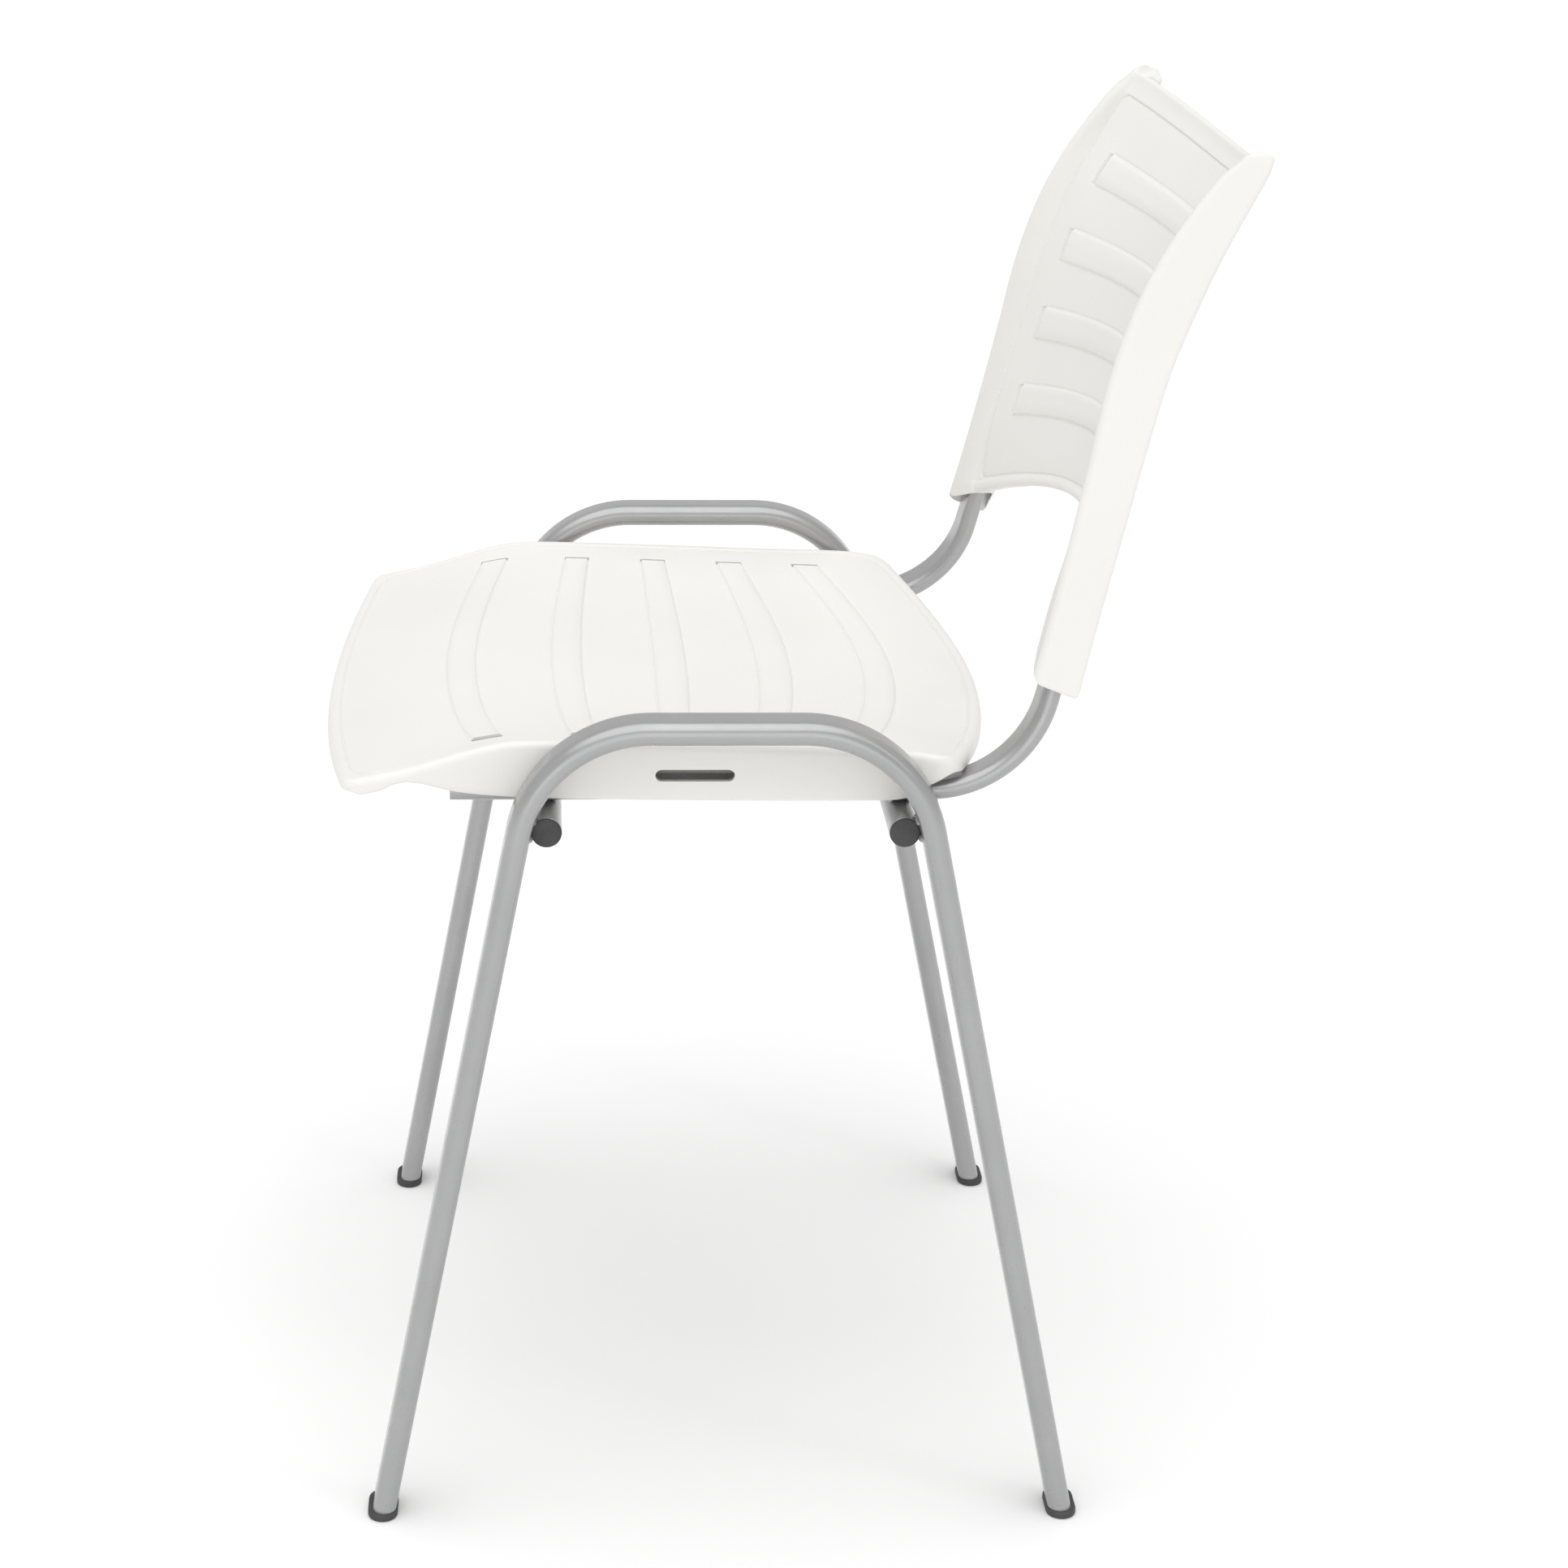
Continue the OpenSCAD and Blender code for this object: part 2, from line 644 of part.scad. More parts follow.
module leg_weld_beads() {
    $fn = 120;
    color(frame_grey) for (s = [-1, 1], e = [-1, 1]) difference() {
        leg_bead(s, e);
        leg_tube(s) oval(tube_w, tube_t);
        along_x(e < 0 ? front_cross_y : rear_cross_y, cross_z, cross_half, cross_d);
    }
}

upright_bead_d = 3.6;
upright_bead_len = 14;
upright_bead_out = 5;
upright_bead_z = cross_z + cross_d / 2 - 0.6;

module upright_weld_beads() {
    color(frame_grey) for (s = [-1, 1], y = [front_cross_y, rear_cross_y]) difference() {
        for (out = [-upright_bead_out, upright_bead_out])
            translate([s * upright_half_x, y + out - mid_y, upright_bead_z])
            rotate([0, 90, 0]) cylinder(d = upright_bead_d, h = upright_bead_len, center = true);
        upright_tube(s) oval(tube_w, upright_t);
        along_x(y, cross_z, cross_half, cross_d);
    }
}

// Cross recess in the end of a screw's head.
module head_recess() {
    for (a = [0, 90]) rotate(a) cube(head_cross, center = true);
}

// Screws that hold the seat: head inside the run, reached through a hole in its lower wall, and
// shank up into the seat's boss.
module seat_screws() {
    color(steel) for (s = [-1, 1]) scale_side(s) for (y = seat_screw_y)
        translate([upright_half_x, y - mid_y, seat_head_z]) difference() {
            union() {
                translate([0, 0, -head_h]) cylinder(d = head_d, h = head_h);
                cylinder(d = screw_d, h = boss_low + seat_screw_reach - seat_head_z);
            }
            translate([0, 0, -head_h]) head_recess();
        }
}

module seat_washers() {
    color(steel) for (s = [-1, 1]) scale_side(s) difference() {
        under_screws(washer_d, washer_h, seat_head_z);
        under_screws(screw_d + 0.4, washer_h + 2, seat_head_z - 1);
    }
}

// Screws through the rear of each rail into the upright, with their shank's two ends.
back_shank = [3, 13];

module back_screws() {
    color(steel) for (s = [-1, 1]) back_screw_axis(s) difference() {
        union() {
            translate([0, 0, back_shank[0]]) cylinder(d = screw_d, h = back_shank[1] - back_shank[0]);
            translate([0, 0, back_shank[1]]) cylinder(d = head_d, h = head_h);
        }
        translate([0, 0, back_shank[1] + head_h]) head_recess();
    }
}

left_leg_frame();
right_leg_frame();
front_cross_tube();
rear_cross_tube();
left_back_upright();
right_back_upright();
seat_shell();
back_shell();
front_left_foot();
front_right_foot();
rear_left_foot();
rear_right_foot();
front_left_tube_plug();
front_right_tube_plug();
rear_left_tube_plug();
rear_right_tube_plug();
leg_weld_beads();
upright_weld_beads();
seat_screws();
seat_washers();
back_screws();
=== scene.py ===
"""Stacking chair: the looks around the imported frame.

Design lengths are in millimetres, as in the part's source: X to the sitter's left, Y to the rear
from midway between the feet, Z up from the floor. point() turns them into the frame's metres.
"""
from math import acos, atan2, ceil, copysign, cos, exp, hypot, pi, radians, sin, sqrt, tan

import bmesh
import bpy
from mathutils import Matrix, Vector


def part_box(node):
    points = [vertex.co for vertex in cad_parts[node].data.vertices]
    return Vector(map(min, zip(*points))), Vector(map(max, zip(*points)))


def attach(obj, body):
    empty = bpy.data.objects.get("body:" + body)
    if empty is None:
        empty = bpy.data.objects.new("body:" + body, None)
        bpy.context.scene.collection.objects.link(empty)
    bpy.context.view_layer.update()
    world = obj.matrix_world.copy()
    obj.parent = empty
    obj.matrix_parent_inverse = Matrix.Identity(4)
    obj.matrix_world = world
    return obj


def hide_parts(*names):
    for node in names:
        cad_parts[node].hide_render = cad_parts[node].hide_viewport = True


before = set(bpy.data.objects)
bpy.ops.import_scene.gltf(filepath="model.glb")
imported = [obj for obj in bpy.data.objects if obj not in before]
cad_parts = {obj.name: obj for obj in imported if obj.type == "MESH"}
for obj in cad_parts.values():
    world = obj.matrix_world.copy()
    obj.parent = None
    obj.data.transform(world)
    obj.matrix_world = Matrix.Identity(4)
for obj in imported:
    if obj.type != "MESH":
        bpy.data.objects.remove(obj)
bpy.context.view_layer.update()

MM = 0.001
SEAT_FRONT_Y = -242.5
ORIGIN_Y = SEAT_FRONT_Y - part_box("seat_shell")[0].y / MM


def point(x, y, z):
    """A design point in the frame's metres."""
    return Vector((x, y - ORIGIN_Y, z)) * MM


# ---- numbers and curves


def smooth(knots, x):
    """Value at x of the smooth curve through [x, value] knots."""
    last = len(knots) - 2
    i = 0
    while i < last and x >= knots[i + 1][0]:
        i += 1

    def slope(k):
        a, b = max(k - 1, 0), min(k + 1, len(knots) - 1)
        return (knots[b][1] - knots[a][1]) / (knots[b][0] - knots[a][0])

    h = knots[i + 1][0] - knots[i][0]
    t = (x - knots[i][0]) / h
    da, db = h * slope(i), h * slope(i + 1)
    t2, t3 = t * t, t * t * t
    ends = (2 * t3 - 3 * t2 + 1) * knots[i][1] + (3 * t2 - 2 * t3) * knots[i + 1][1]
    return ends + (t3 - 2 * t2 + t) * da + (t3 - t2) * db


def mix(a, b, t):
    return a + (b - a) * t


def clamp(x, lo, hi):
    return max(lo, min(hi, x))


def squeeze(value, full, near, inset):
    """Moves a place within near of the full size's edge inward by up to inset."""
    edge = abs(value) - (full - near)
    if edge <= 0:
        return value
    return copysign(full - near + edge * (near - inset) / near, value)


def ramp(x, lo, hi):
    """0 below lo, 1 above hi and smooth between."""
    t = clamp((x - lo) / (hi - lo), 0.0, 1.0)
    return t * t * (3 - 2 * t)


LINE_GAP = 0.05


def grid_lines(lo, hi, step, fine, exact):
    """Sorted places from lo to hi, closer in the fine spans (a, b, step)."""
    places = [lo, hi] + list(exact)
    for a, b, s in fine:
        n = max(1, round((b - a) / s))
        places += [mix(a, b, k / n) for k in range(n + 1)]
    n = max(1, round((hi - lo) / step))
    for k in range(n + 1):
        x = mix(lo, hi, k / n)
        if not any(a - 0.4 * step < x < b + 0.4 * step for a, b, s in fine):
            places.append(x)
    kept = []
    for x in sorted(p for p in places if lo <= p <= hi):
        if not kept or x - kept[-1] > LINE_GAP:
            kept.append(x)
        elif x in exact:
            kept[-1] = x
    return kept


def rounded_box_distance(dx, dy, radius):
    """Signed distance to a rounded corner, from the depths inside its two straight edges."""
    qx, qy = radius - dx, radius - dy
    outside = hypot(max(qx, 0.0), max(qy, 0.0))
    return outside + min(max(qx, qy), 0.0) - radius


# ---- meshes


def place_in_scene(name, data):
    """A new object in the scene."""
    obj = bpy.data.objects.new(name, data)
    bpy.context.scene.collection.objects.link(obj)
    return obj


SHARP_ANGLE = 40.0
WELD_DISTANCE = 2e-6


def new_object(name, verts, faces, sharp=SHARP_ANGLE):
    """A smooth-shaded mesh object from points in metres."""
    mesh = bpy.data.meshes.new(name)
    mesh.from_pydata([tuple(v) for v in verts], [], faces)
    bm = bmesh.new()
    bm.from_mesh(mesh)
    bmesh.ops.remove_doubles(bm, verts=bm.verts, dist=WELD_DISTANCE)
    bmesh.ops.dissolve_degenerate(bm, edges=bm.edges, dist=WELD_DISTANCE / 2)
    bmesh.ops.recalc_face_normals(bm, faces=bm.faces)
    bm.to_mesh(mesh)
    bm.free()
    for poly in mesh.polygons:
        poly.use_smooth = True
    mesh.set_sharp_from_angle(angle=radians(sharp))
    return place_in_scene(name, mesh)


def merge(parts):
    """One list of points and faces from several."""
    verts, faces = [], []
    for v, f in parts:
        base = len(verts)
        verts += v
        faces += [[base + i for i in face] for face in f]
    return verts, faces


def bridge(chain):
    """Quads between neighbouring closed rings of point numbers."""
    faces = []
    for a, b in zip(chain, chain[1:]):
        for i in range(len(a)):
            k = (i + 1) % len(a)
            faces.append([a[i], a[k], b[k], b[i]])
    return faces


def skin(rings, capped=False):
    """Points and quads of rings, with a face over each end if capped."""
    n = len(rings[0])
    verts = [p for ring in rings for p in ring]
    faces = bridge([list(range(j * n, (j + 1) * n)) for j in range(len(rings))])
    if capped:
        faces += [list(range(n)), list(range(len(verts) - n, len(verts)))]
    return verts, faces


def oval(w, t, flat_steps=3, arc_steps=14):
    """Flat-oval outline, wide along the first axis, as (a, b) pairs."""
    half, r = (w - t) / 2, t / 2
    pts = []
    for side in (1, -1):
        for k in range(arc_steps + 1):
            a = pi * (k / arc_steps - 0.5)
            pts.append((side * (half + r * cos(a)), side * r * sin(a)))
        for k in range(1, flat_steps):
            pts.append((side * mix(half, -half, k / flat_steps), side * r))
    return pts


def lathe(profile, axis_matrix, steps):
    """Surface of revolution through the (radius, height) pairs of profile."""
    rings = []
    for r, h in profile:
        ring = []
        for k in range(steps):
            a = 2 * pi * k / steps
            ring.append(axis_matrix @ Vector((r * cos(a), r * sin(a), h)))
        rings.append(ring)
    return skin(rings)


def cut_away(obj, cutter):
    """Cuts the cutter's shape out of the piece."""
    modifier = obj.modifiers.new("cut", "BOOLEAN")
    modifier.operation = "DIFFERENCE"
    modifier.solver = "EXACT"
    modifier.object = cutter
    graph = bpy.context.evaluated_depsgraph_get()
    mesh = bpy.data.meshes.new_from_object(obj.evaluated_get(graph))
    obj.modifiers.clear()
    obj.data = mesh
    mesh.set_sharp_from_angle(angle=radians(SHARP_ANGLE))
    bpy.data.objects.remove(cutter)


def show(obj, node_names, material):
    """The piece stands for these CAD nodes, which it hides, and takes the given material."""
    obj.data.materials.clear()
    obj.data.materials.append(material)
    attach(obj, "root")
    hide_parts(*node_names)


# ---- materials


class Nodes:
    """Short ways to add and join shader nodes."""

    def __init__(self, name):
        self.material = bpy.data.materials.new(name)
        self.material.use_nodes = True
        self.tree = self.material.node_tree
        self.shader = self.tree.nodes["Principled BSDF"]
        self.coords = self.tree.nodes.new("ShaderNodeTexCoord")

    def add(self, kind, inputs=None, **props):
        node = self.tree.nodes.new(kind)
        for key, value in props.items():
            setattr(node, key, value)
        for key, value in (inputs or {}).items():
            if isinstance(value, bpy.types.NodeSocket):
                self.tree.links.new(value, node.inputs[key])
            else:
                node.inputs[key].default_value = value
        return node

    def noise(self, scale, detail, rough=0.5, stretch=(1, 1, 1)):
        place = self.add("ShaderNodeMapping", {"Vector": self.coords.outputs["Object"]})
        place.inputs["Scale"].default_value = stretch
        node = self.add("ShaderNodeTexNoise", {"Vector": place.outputs[0], "Scale": scale, "Detail": detail})
        node.inputs["Roughness"].default_value = rough
        return node.outputs["Fac"]

    def cells(self, scale, feature="F1"):
        node = self.add("ShaderNodeTexVoronoi", {"Vector": self.coords.outputs["Object"], "Scale": scale})
        node.feature = feature
        return node.outputs["Distance"]

    def between(self, factor, low, high, lo=0.35, hi=0.65):
        """A number from low to high as factor goes from lo to hi."""
        node = self.add("ShaderNodeMapRange", {0: factor, 1: lo, 2: hi, 3: low, 4: high})
        return node.outputs[0]

    def colours(self, factor, a, b):
        ramp_node = self.add("ShaderNodeValToRGB", {"Fac": factor})
        for stop, place, colour in zip(ramp_node.color_ramp.elements, (0.3, 0.7), (a, b)):
            stop.position = place
            stop.color = (*colour, 1.0)
        return ramp_node.outputs["Color"]

    def blend(self, factor, a, b):
        node = self.add("ShaderNodeMix", {0: factor}, data_type="RGBA")
        for socket, value in ((node.inputs[6], a), (node.inputs[7], b)):
            if isinstance(value, bpy.types.NodeSocket):
                self.tree.links.new(value, socket)
            else:
                socket.default_value = (*value, 1.0)
        return node.outputs[2]

    def edge_wear(self, lo, hi):
        """1 on convex edges of the mesh."""
        geometry = self.add("ShaderNodeNewGeometry")
        return self.between(geometry.outputs["Pointiness"], 0.0, 1.0, lo, hi)

    def bumps(self, layers):
        """Stacked bump nodes, each (height, strength, distance in metres)."""
        normal = None
        for height, strength, distance in layers:
            node = self.add("ShaderNodeBump", {"Height": height, "Strength": strength, "Distance": distance})
            if normal is not None:
                self.tree.links.new(normal, node.inputs["Normal"])
            normal = node.outputs["Normal"]
        self.set("Normal", normal)

    def set(self, socket, value):
        if isinstance(value, bpy.types.NodeSocket):
            self.tree.links.new(value, self.shader.inputs[socket])
        else:
            self.shader.inputs[socket].default_value = value


def shell_material():
    """Warm off-white moulded polypropylene with a fine spark-eroded grain."""
    n = Nodes("shell_plastic")
    cloud = n.noise(7.0, 2.0)
    base = n.colours(cloud, (0.785, 0.770, 0.738), (0.812, 0.797, 0.766))
    speck = n.noise(900.0, 2.0, 0.6)
    base = n.blend(n.between(speck, 0.0, 0.25, 0.5, 0.75), base, (0.760, 0.745, 0.713))
    n.set("Base Color", n.blend(n.edge_wear(0.56, 0.72), base, (0.822, 0.808, 0.778)))
    n.set("Roughness", n.between(n.noise(38.0, 4.0), 0.44, 0.54))
    n.set("IOR", 1.49)
    n.set("Specular IOR Level", 0.42)
    n.set("Subsurface Weight", 0.06)
    n.set("Subsurface Radius", (0.004, 0.004, 0.003))
    n.set("Subsurface Scale", 0.5)
    n.bumps([
        (n.noise(5.0, 2.0), 0.10, 0.0012),
        (n.cells(1500.0), 0.16, 0.00006),
        (n.noise(2600.0, 3.0, 0.6), 0.14, 0.00005),
    ])
    return n.material


def frame_material():
    """Silver-grey powder coat: fine orange peel and aluminium flake."""
    n = Nodes("frame_coat")
    base = n.colours(n.noise(24.0, 3.0), (0.365, 0.366, 0.368), (0.390, 0.391, 0.393))
    flake = n.cells(1100.0)
    base = n.blend(n.between(flake, 0.10, 0.0, 0.0, 0.35), base, (0.47, 0.472, 0.475))
    scuff = n.noise(30.0, 2.0, 0.5, (1, 1, 0.4))
    base = n.blend(n.between(scuff, 0.0, 0.2, 0.5, 0.8), base, (0.35, 0.351, 0.354))
    n.set("Base Color", n.blend(n.edge_wear(0.58, 0.80), base, (0.50, 0.502, 0.505)))
    n.set("Metallic", 0.6)
    n.set("Roughness", n.between(n.noise(95.0, 4.0), 0.27, 0.35))
    n.set("Coat Weight", 0.3)
    n.set("Coat Roughness", 0.12)
    n.bumps([
        (n.noise(260.0, 2.0), 0.10, 0.00025),
        (n.noise(900.0, 2.0), 0.05, 0.00005),
    ])
    return n.material


def black_material(name, grain_scale, grain_depth):
    """Black moulded polyethylene with a leathery grain."""
    n = Nodes(name)
    base = n.colours(n.noise(60.0, 4.0), (0.030, 0.030, 0.031), (0.052, 0.052, 0.054))
    grain = n.cells(grain_scale, "SMOOTH_F1")
    base = n.blend(n.between(grain, 0.35, 0.0, 0.0, 0.5), base, (0.062, 0.062, 0.064))
    n.set("Base Color", n.blend(n.edge_wear(0.54, 0.68), base, (0.10, 0.10, 0.103)))
    n.set("Roughness", n.between(n.noise(240.0, 3.0), 0.50, 0.66))
    n.set("IOR", 1.5)
    n.bumps([
        (grain, 0.5, grain_depth),
        (n.noise(grain_scale * 2.2, 3.0, 0.6), 0.3, grain_depth * 0.5),
    ])
    return n.material


def steel_material():
    """Zinc-plated screw steel with turned marks."""
    n = Nodes("zinc_steel")
    base = n.colours(n.noise(300.0, 4.0), (0.50, 0.505, 0.52), (0.66, 0.66, 0.655))
    n.set("Base Color", n.blend(n.edge_wear(0.54, 0.70), base, (0.80, 0.80, 0.79)))
    n.set("Metallic", 1.0)
    n.set("Roughness", n.between(n.noise(700.0, 3.0), 0.22, 0.42))
    n.set("Anisotropic", 0.3)
    n.bumps([(n.noise(1800.0, 2.0, 0.5, (1, 1, 4)), 0.2, 0.00004)])
    return n.material


def weld_material():
    """Powder coat over a weld, a little rougher."""
    n = Nodes("weld_coat")
    base = n.colours(n.noise(420.0, 4.0), (0.33, 0.332, 0.335), (0.43, 0.432, 0.435))
    n.set("Base Color", n.blend(n.edge_wear(0.53, 0.68), base, (0.52, 0.522, 0.525)))
    n.set("Metallic", 0.5)
    n.set("Roughness", n.between(n.noise(500.0, 4.0), 0.34, 0.52))
    n.set("Coat Weight", 0.25)
    n.set("Coat Roughness", 0.2)
    n.bumps([(n.noise(900.0, 4.0, 0.6), 0.4, 0.0002)])
    return n.material


SHELL = shell_material()
COAT = frame_material()
FOOT_BLACK = black_material("foot_black", 900.0, 0.00012)
PLUG_BLACK = black_material("plug_black", 620.0, 0.0003)
STEEL = steel_material()
WELD = weld_material()

# ---- tubes

SIDES = ((1, "left"), (-1, "right"))
TUBE_W = 27.2
TUBE_T = 14.0
UPRIGHT_T = 11.0
WALL = 1.5
CROSS_D = 17.5
FOOT_HALF_Y = 208.0
FOOT_HALF_X = 218.2
ARCH_Z = 510.0
ARCH_R = 76.0
FRONT_TILT = radians(10.6)
REAR_TILT = radians(12.3)
FRAME_LEAN = radians(0.7)
CROSS_Z = 447.5
CROSS_HALF = 222.5
CROSS_END_R = 0.35
UPRIGHT_HALF_X = 188.0
UPRIGHT_FRONT_Y = -163.0
UPRIGHT_BEND_Y = 110.5
UPRIGHT_R = 68.0
UPRIGHT_TILT = radians(13.0)
UPRIGHT_LEAN = radians(5.0)
UPRIGHT_LEN = 118.0
WELD_GAP = 0.1
PAD_H = 4.5
SEAT_SCREW_Y = (-132.0, 62.0)
ACCESS_R = 5.5
STRAIGHT_STEP = 24.0
BEND_STEP = radians(3.5)

LEAN_RISE = (TUBE_W - UPRIGHT_T) / 2 * sin(UPRIGHT_LEAN)
UPRIGHT_Z = CROSS_Z + CROSS_D / 2 + UPRIGHT_T / 2 + LEAN_RISE + WELD_GAP
LEG_TO_CROSS = TUBE_T / 2 + CROSS_D / 2 + WELD_GAP
FRONT_CROSS_Y = -FOOT_HALF_Y + CROSS_Z * tan(FRONT_TILT) + LEG_TO_CROSS / cos(FRONT_TILT)
REAR_CROSS_Y = FOOT_HALF_Y - CROSS_Z * tan(REAR_TILT) - LEG_TO_CROSS / cos(REAR_TILT)
TO_LEFT = Matrix.Rotation(radians(90), 4, "Y") @ Matrix.Scale(MM, 4)


def plane_path(start, heading, runs):
    """Stations along a bent tube in its own plane: (y, z, heading), heading 0 being up.

    runs are (straight length, turn after it, radius); a positive turn is towards +Y.
    """
    y, z = start
    out = [(y, z, heading)]
    for length, turn, radius in runs:
        n = ceil(length / STRAIGHT_STEP)
        for k in range(1, n + 1):
            reach = length * k / n
            out.append((y + sin(heading) * reach, z + cos(heading) * reach, heading))
        y, z = out[-1][:2]
        if turn:
            sign = 1 if turn > 0 else -1
            cy, cz = y + sign * radius * cos(heading), z - sign * radius * sin(heading)
            n = ceil(abs(turn) / BEND_STEP)
            for k in range(1, n + 1):
                h = heading + turn * k / n
                out.append((cy - sign * radius * cos(h), cz + sign * radius * sin(h), h))
            heading += turn
            y, z = out[-1][:2]
    return out


def leaning_plane(x, z, lean):
    """Takes points of an upright plane, leant sideways, into metres."""
    turn = Matrix.Rotation(lean, 3, "Y")
    origin = point(x, 0, z)
    return lambda a, b, c: origin + turn @ (Vector((a, b, c)) * MM)


def tube_mesh(stations, w, t, place, floor=None):
    """A hollow flat-oval tube along stations: place takes points of its plane into metres.

    With floor set, the two ends are cut level at that design height.
    """
    walls = []
    for size in ((w, t), (w - 2 * WALL, t - 2 * WALL)):
        rings = []
        for y, z, h in stations:
            rings.append([place(a, y + b * cos(h), z - b * sin(h)) for a, b in oval(*size)])
        if floor is not None:
            for end in (0, -1):
                h = stations[end][2]
                along = place(0, sin(h), cos(h)) - place(0, 0, 0)
                rings[end] = [p + along * ((floor * MM - p.z) / along.z) for p in rings[end]]
        walls.append(rings)
    outer, inner = walls
    return skin(outer + inner[::-1] + outer[:1])


def leg_stations():
    """Up from the front foot, over the arch and down to the rear foot."""
    front_turn, rear_turn = pi / 2 - FRONT_TILT, pi / 2 - REAR_TILT
    front_tangent = ARCH_R * tan(front_turn / 2)
    rear_tangent = ARCH_R * tan(rear_turn / 2)
    front_corner = -FOOT_HALF_Y + ARCH_Z * tan(FRONT_TILT)
    rear_corner = FOOT_HALF_Y - ARCH_Z * tan(REAR_TILT)
    runs = [
        (ARCH_Z / cos(FRONT_TILT) - front_tangent, front_turn, ARCH_R),
        (rear_corner - front_corner - front_tangent - rear_tangent, rear_turn, ARCH_R),
        (ARCH_Z / cos(REAR_TILT) - rear_tangent, 0, 0),
    ]
    return plane_path((-FOOT_HALF_Y, 0), FRONT_TILT, runs)


def leg_frames():
    """The two inverted-U leg tubes, cut level on top of the feet's pads."""
    for side, name in SIDES:
        place = leaning_plane(side * FOOT_HALF_X, 0, side * FRAME_LEAN)
        obj = new_object(name + "_leg_tube", *tube_mesh(leg_stations(), TUBE_W, TUBE_T, place, PAD_H))
        show(obj, [name + "_leg_frame"], COAT)


def upright_stations():
    """Back along the run under the seat, then up behind it."""
    runs = [
        (UPRIGHT_BEND_Y - UPRIGHT_FRONT_Y, UPRIGHT_TILT - pi / 2, UPRIGHT_R),
        (UPRIGHT_LEN, 0, 0),
    ]
    return plane_path((UPRIGHT_FRONT_Y, 0), pi / 2, runs)


def access_cutter(side):
    """Round bars that open the run's lower wall under the seat's screws."""
    profile = [(0.0, -UPRIGHT_T), (ACCESS_R, -UPRIGHT_T), (ACCESS_R, 0.0), (0.0, 0.0)]
    parts = []
    for y in SEAT_SCREW_Y:
        place = Matrix.Translation(point(side * UPRIGHT_HALF_X, y, UPRIGHT_Z)) @ Matrix.Scale(MM, 4)
        parts.append(lathe(profile, place, 40))
    return new_object("access_cutter", *merge(parts))


def uprights():
    """The two tubes under the seat that carry the back."""
    for side, name in SIDES:
        place = leaning_plane(side * UPRIGHT_HALF_X, UPRIGHT_Z, -side * UPRIGHT_LEAN)
        obj = new_object(name + "_upright_tube", *tube_mesh(upright_stations(), TUBE_W, UPRIGHT_T, place))
        cut_away(obj, access_cutter(side))
        show(obj, [name + "_back_upright"], COAT)


def cross_tubes():
    """Round tubes with a small burr-free radius at each cut end."""
    r, bore, e = CROSS_D / 2, CROSS_D / 2 - WALL, CROSS_END_R
    profile = [(r, mix(-CROSS_HALF + e, CROSS_HALF - e, k / 8)) for k in range(9)]
    profile += [(r - e, CROSS_HALF), (bore + e, CROSS_HALF), (bore, CROSS_HALF - e)]
    profile += [(bore, -CROSS_HALF + e), (bore + e, -CROSS_HALF), (r - e, -CROSS_HALF), profile[0]]
    for name, y in (("front", FRONT_CROSS_Y), ("rear", REAR_CROSS_Y)):
        place = Matrix.Translation(point(0, y, CROSS_Z)) @ TO_LEFT
        obj = new_object(name + "_cross_bar", *lathe(profile, place, 64))
        show(obj, [name + "_cross_tube"], COAT)


PLUG_R = CROSS_D / 2 - 0.15
PLUG_DISC = 1.5
PLUG_CORE_R = CROSS_D / 2 - WALL - 0.8
PLUG_RIB_R = CROSS_D / 2 - WALL - 0.16
PLUG_RIBS = 3
PLUG_RIB_PITCH = 4.5
PLUG_LEN = 16.0


def plug_profile():
    """Half section of a plug, from its disc to the spigot's end."""
    r, core, rib = PLUG_R, PLUG_CORE_R, PLUG_RIB_R
    profile = [(0.0, PLUG_DISC), (r * 0.45, PLUG_DISC - 0.02), (r * 0.8, PLUG_DISC - 0.06)]
    profile += [(r - 0.45, PLUG_DISC - 0.12), (r - 0.12, PLUG_DISC - 0.3), (r, PLUG_DISC - 0.55)]
    profile += [(r, 0.15), (r - 0.3, 0.0), (core, -0.4)]
    for k in range(PLUG_RIBS):
        z = -2.5 - PLUG_RIB_PITCH * k
        profile += [(core, z + 0.9), (rib, z + 0.3), (rib, z - 0.6), (core, z - 1.6)]
    return profile + [(core, 0.8 - PLUG_LEN), (core - 0.8, -PLUG_LEN), (0.0, -PLUG_LEN)]


def plugs():
    """Plugs with a softly domed, chamfered disc and a ribbed spigot."""
    for end, y in (("front", FRONT_CROSS_Y), ("rear", REAR_CROSS_Y)):
        for side, name in SIDES:
            turn = Matrix.Identity(4) if side > 0 else Matrix.Rotation(pi, 4, "Z")
            place = Matrix.Translation(point(side * CROSS_HALF, y, CROSS_Z)) @ turn @ TO_LEFT
            obj = new_object(f"{end}_{name}_plug", *lathe(plug_profile(), place, 56), 50)
            show(obj, [f"{end}_{name}_tube_plug"], PLUG_BLACK)


# How much wider than the leg a foot is, and at what height.
PAD_LEVELS = [(0.9, 0.0), (1.6, 0.25), (2.0, 0.9), (2.0, 3.3), (1.75, 4.1), (1.2, PAD_H), (-0.05, PAD_H)]
SPIGOT_LEVELS = [(-WALL - 0.15, PAD_H + 0.1), (-WALL - 0.15, 24.0), (-WALL - 1.2, 25.5)]
PAD_OUT = 1.0
PAD_ASIDE = 0.05


def foot_ring(x, y, z, grow, tilt):
    """Level section of a foot, wider by grow all round than its leg."""
    outline = oval(TUBE_W + 2 * grow, TUBE_T / cos(tilt) + 2 * grow, 4, 16)
    return [point(x + a, y + b, z) for a, b in outline]


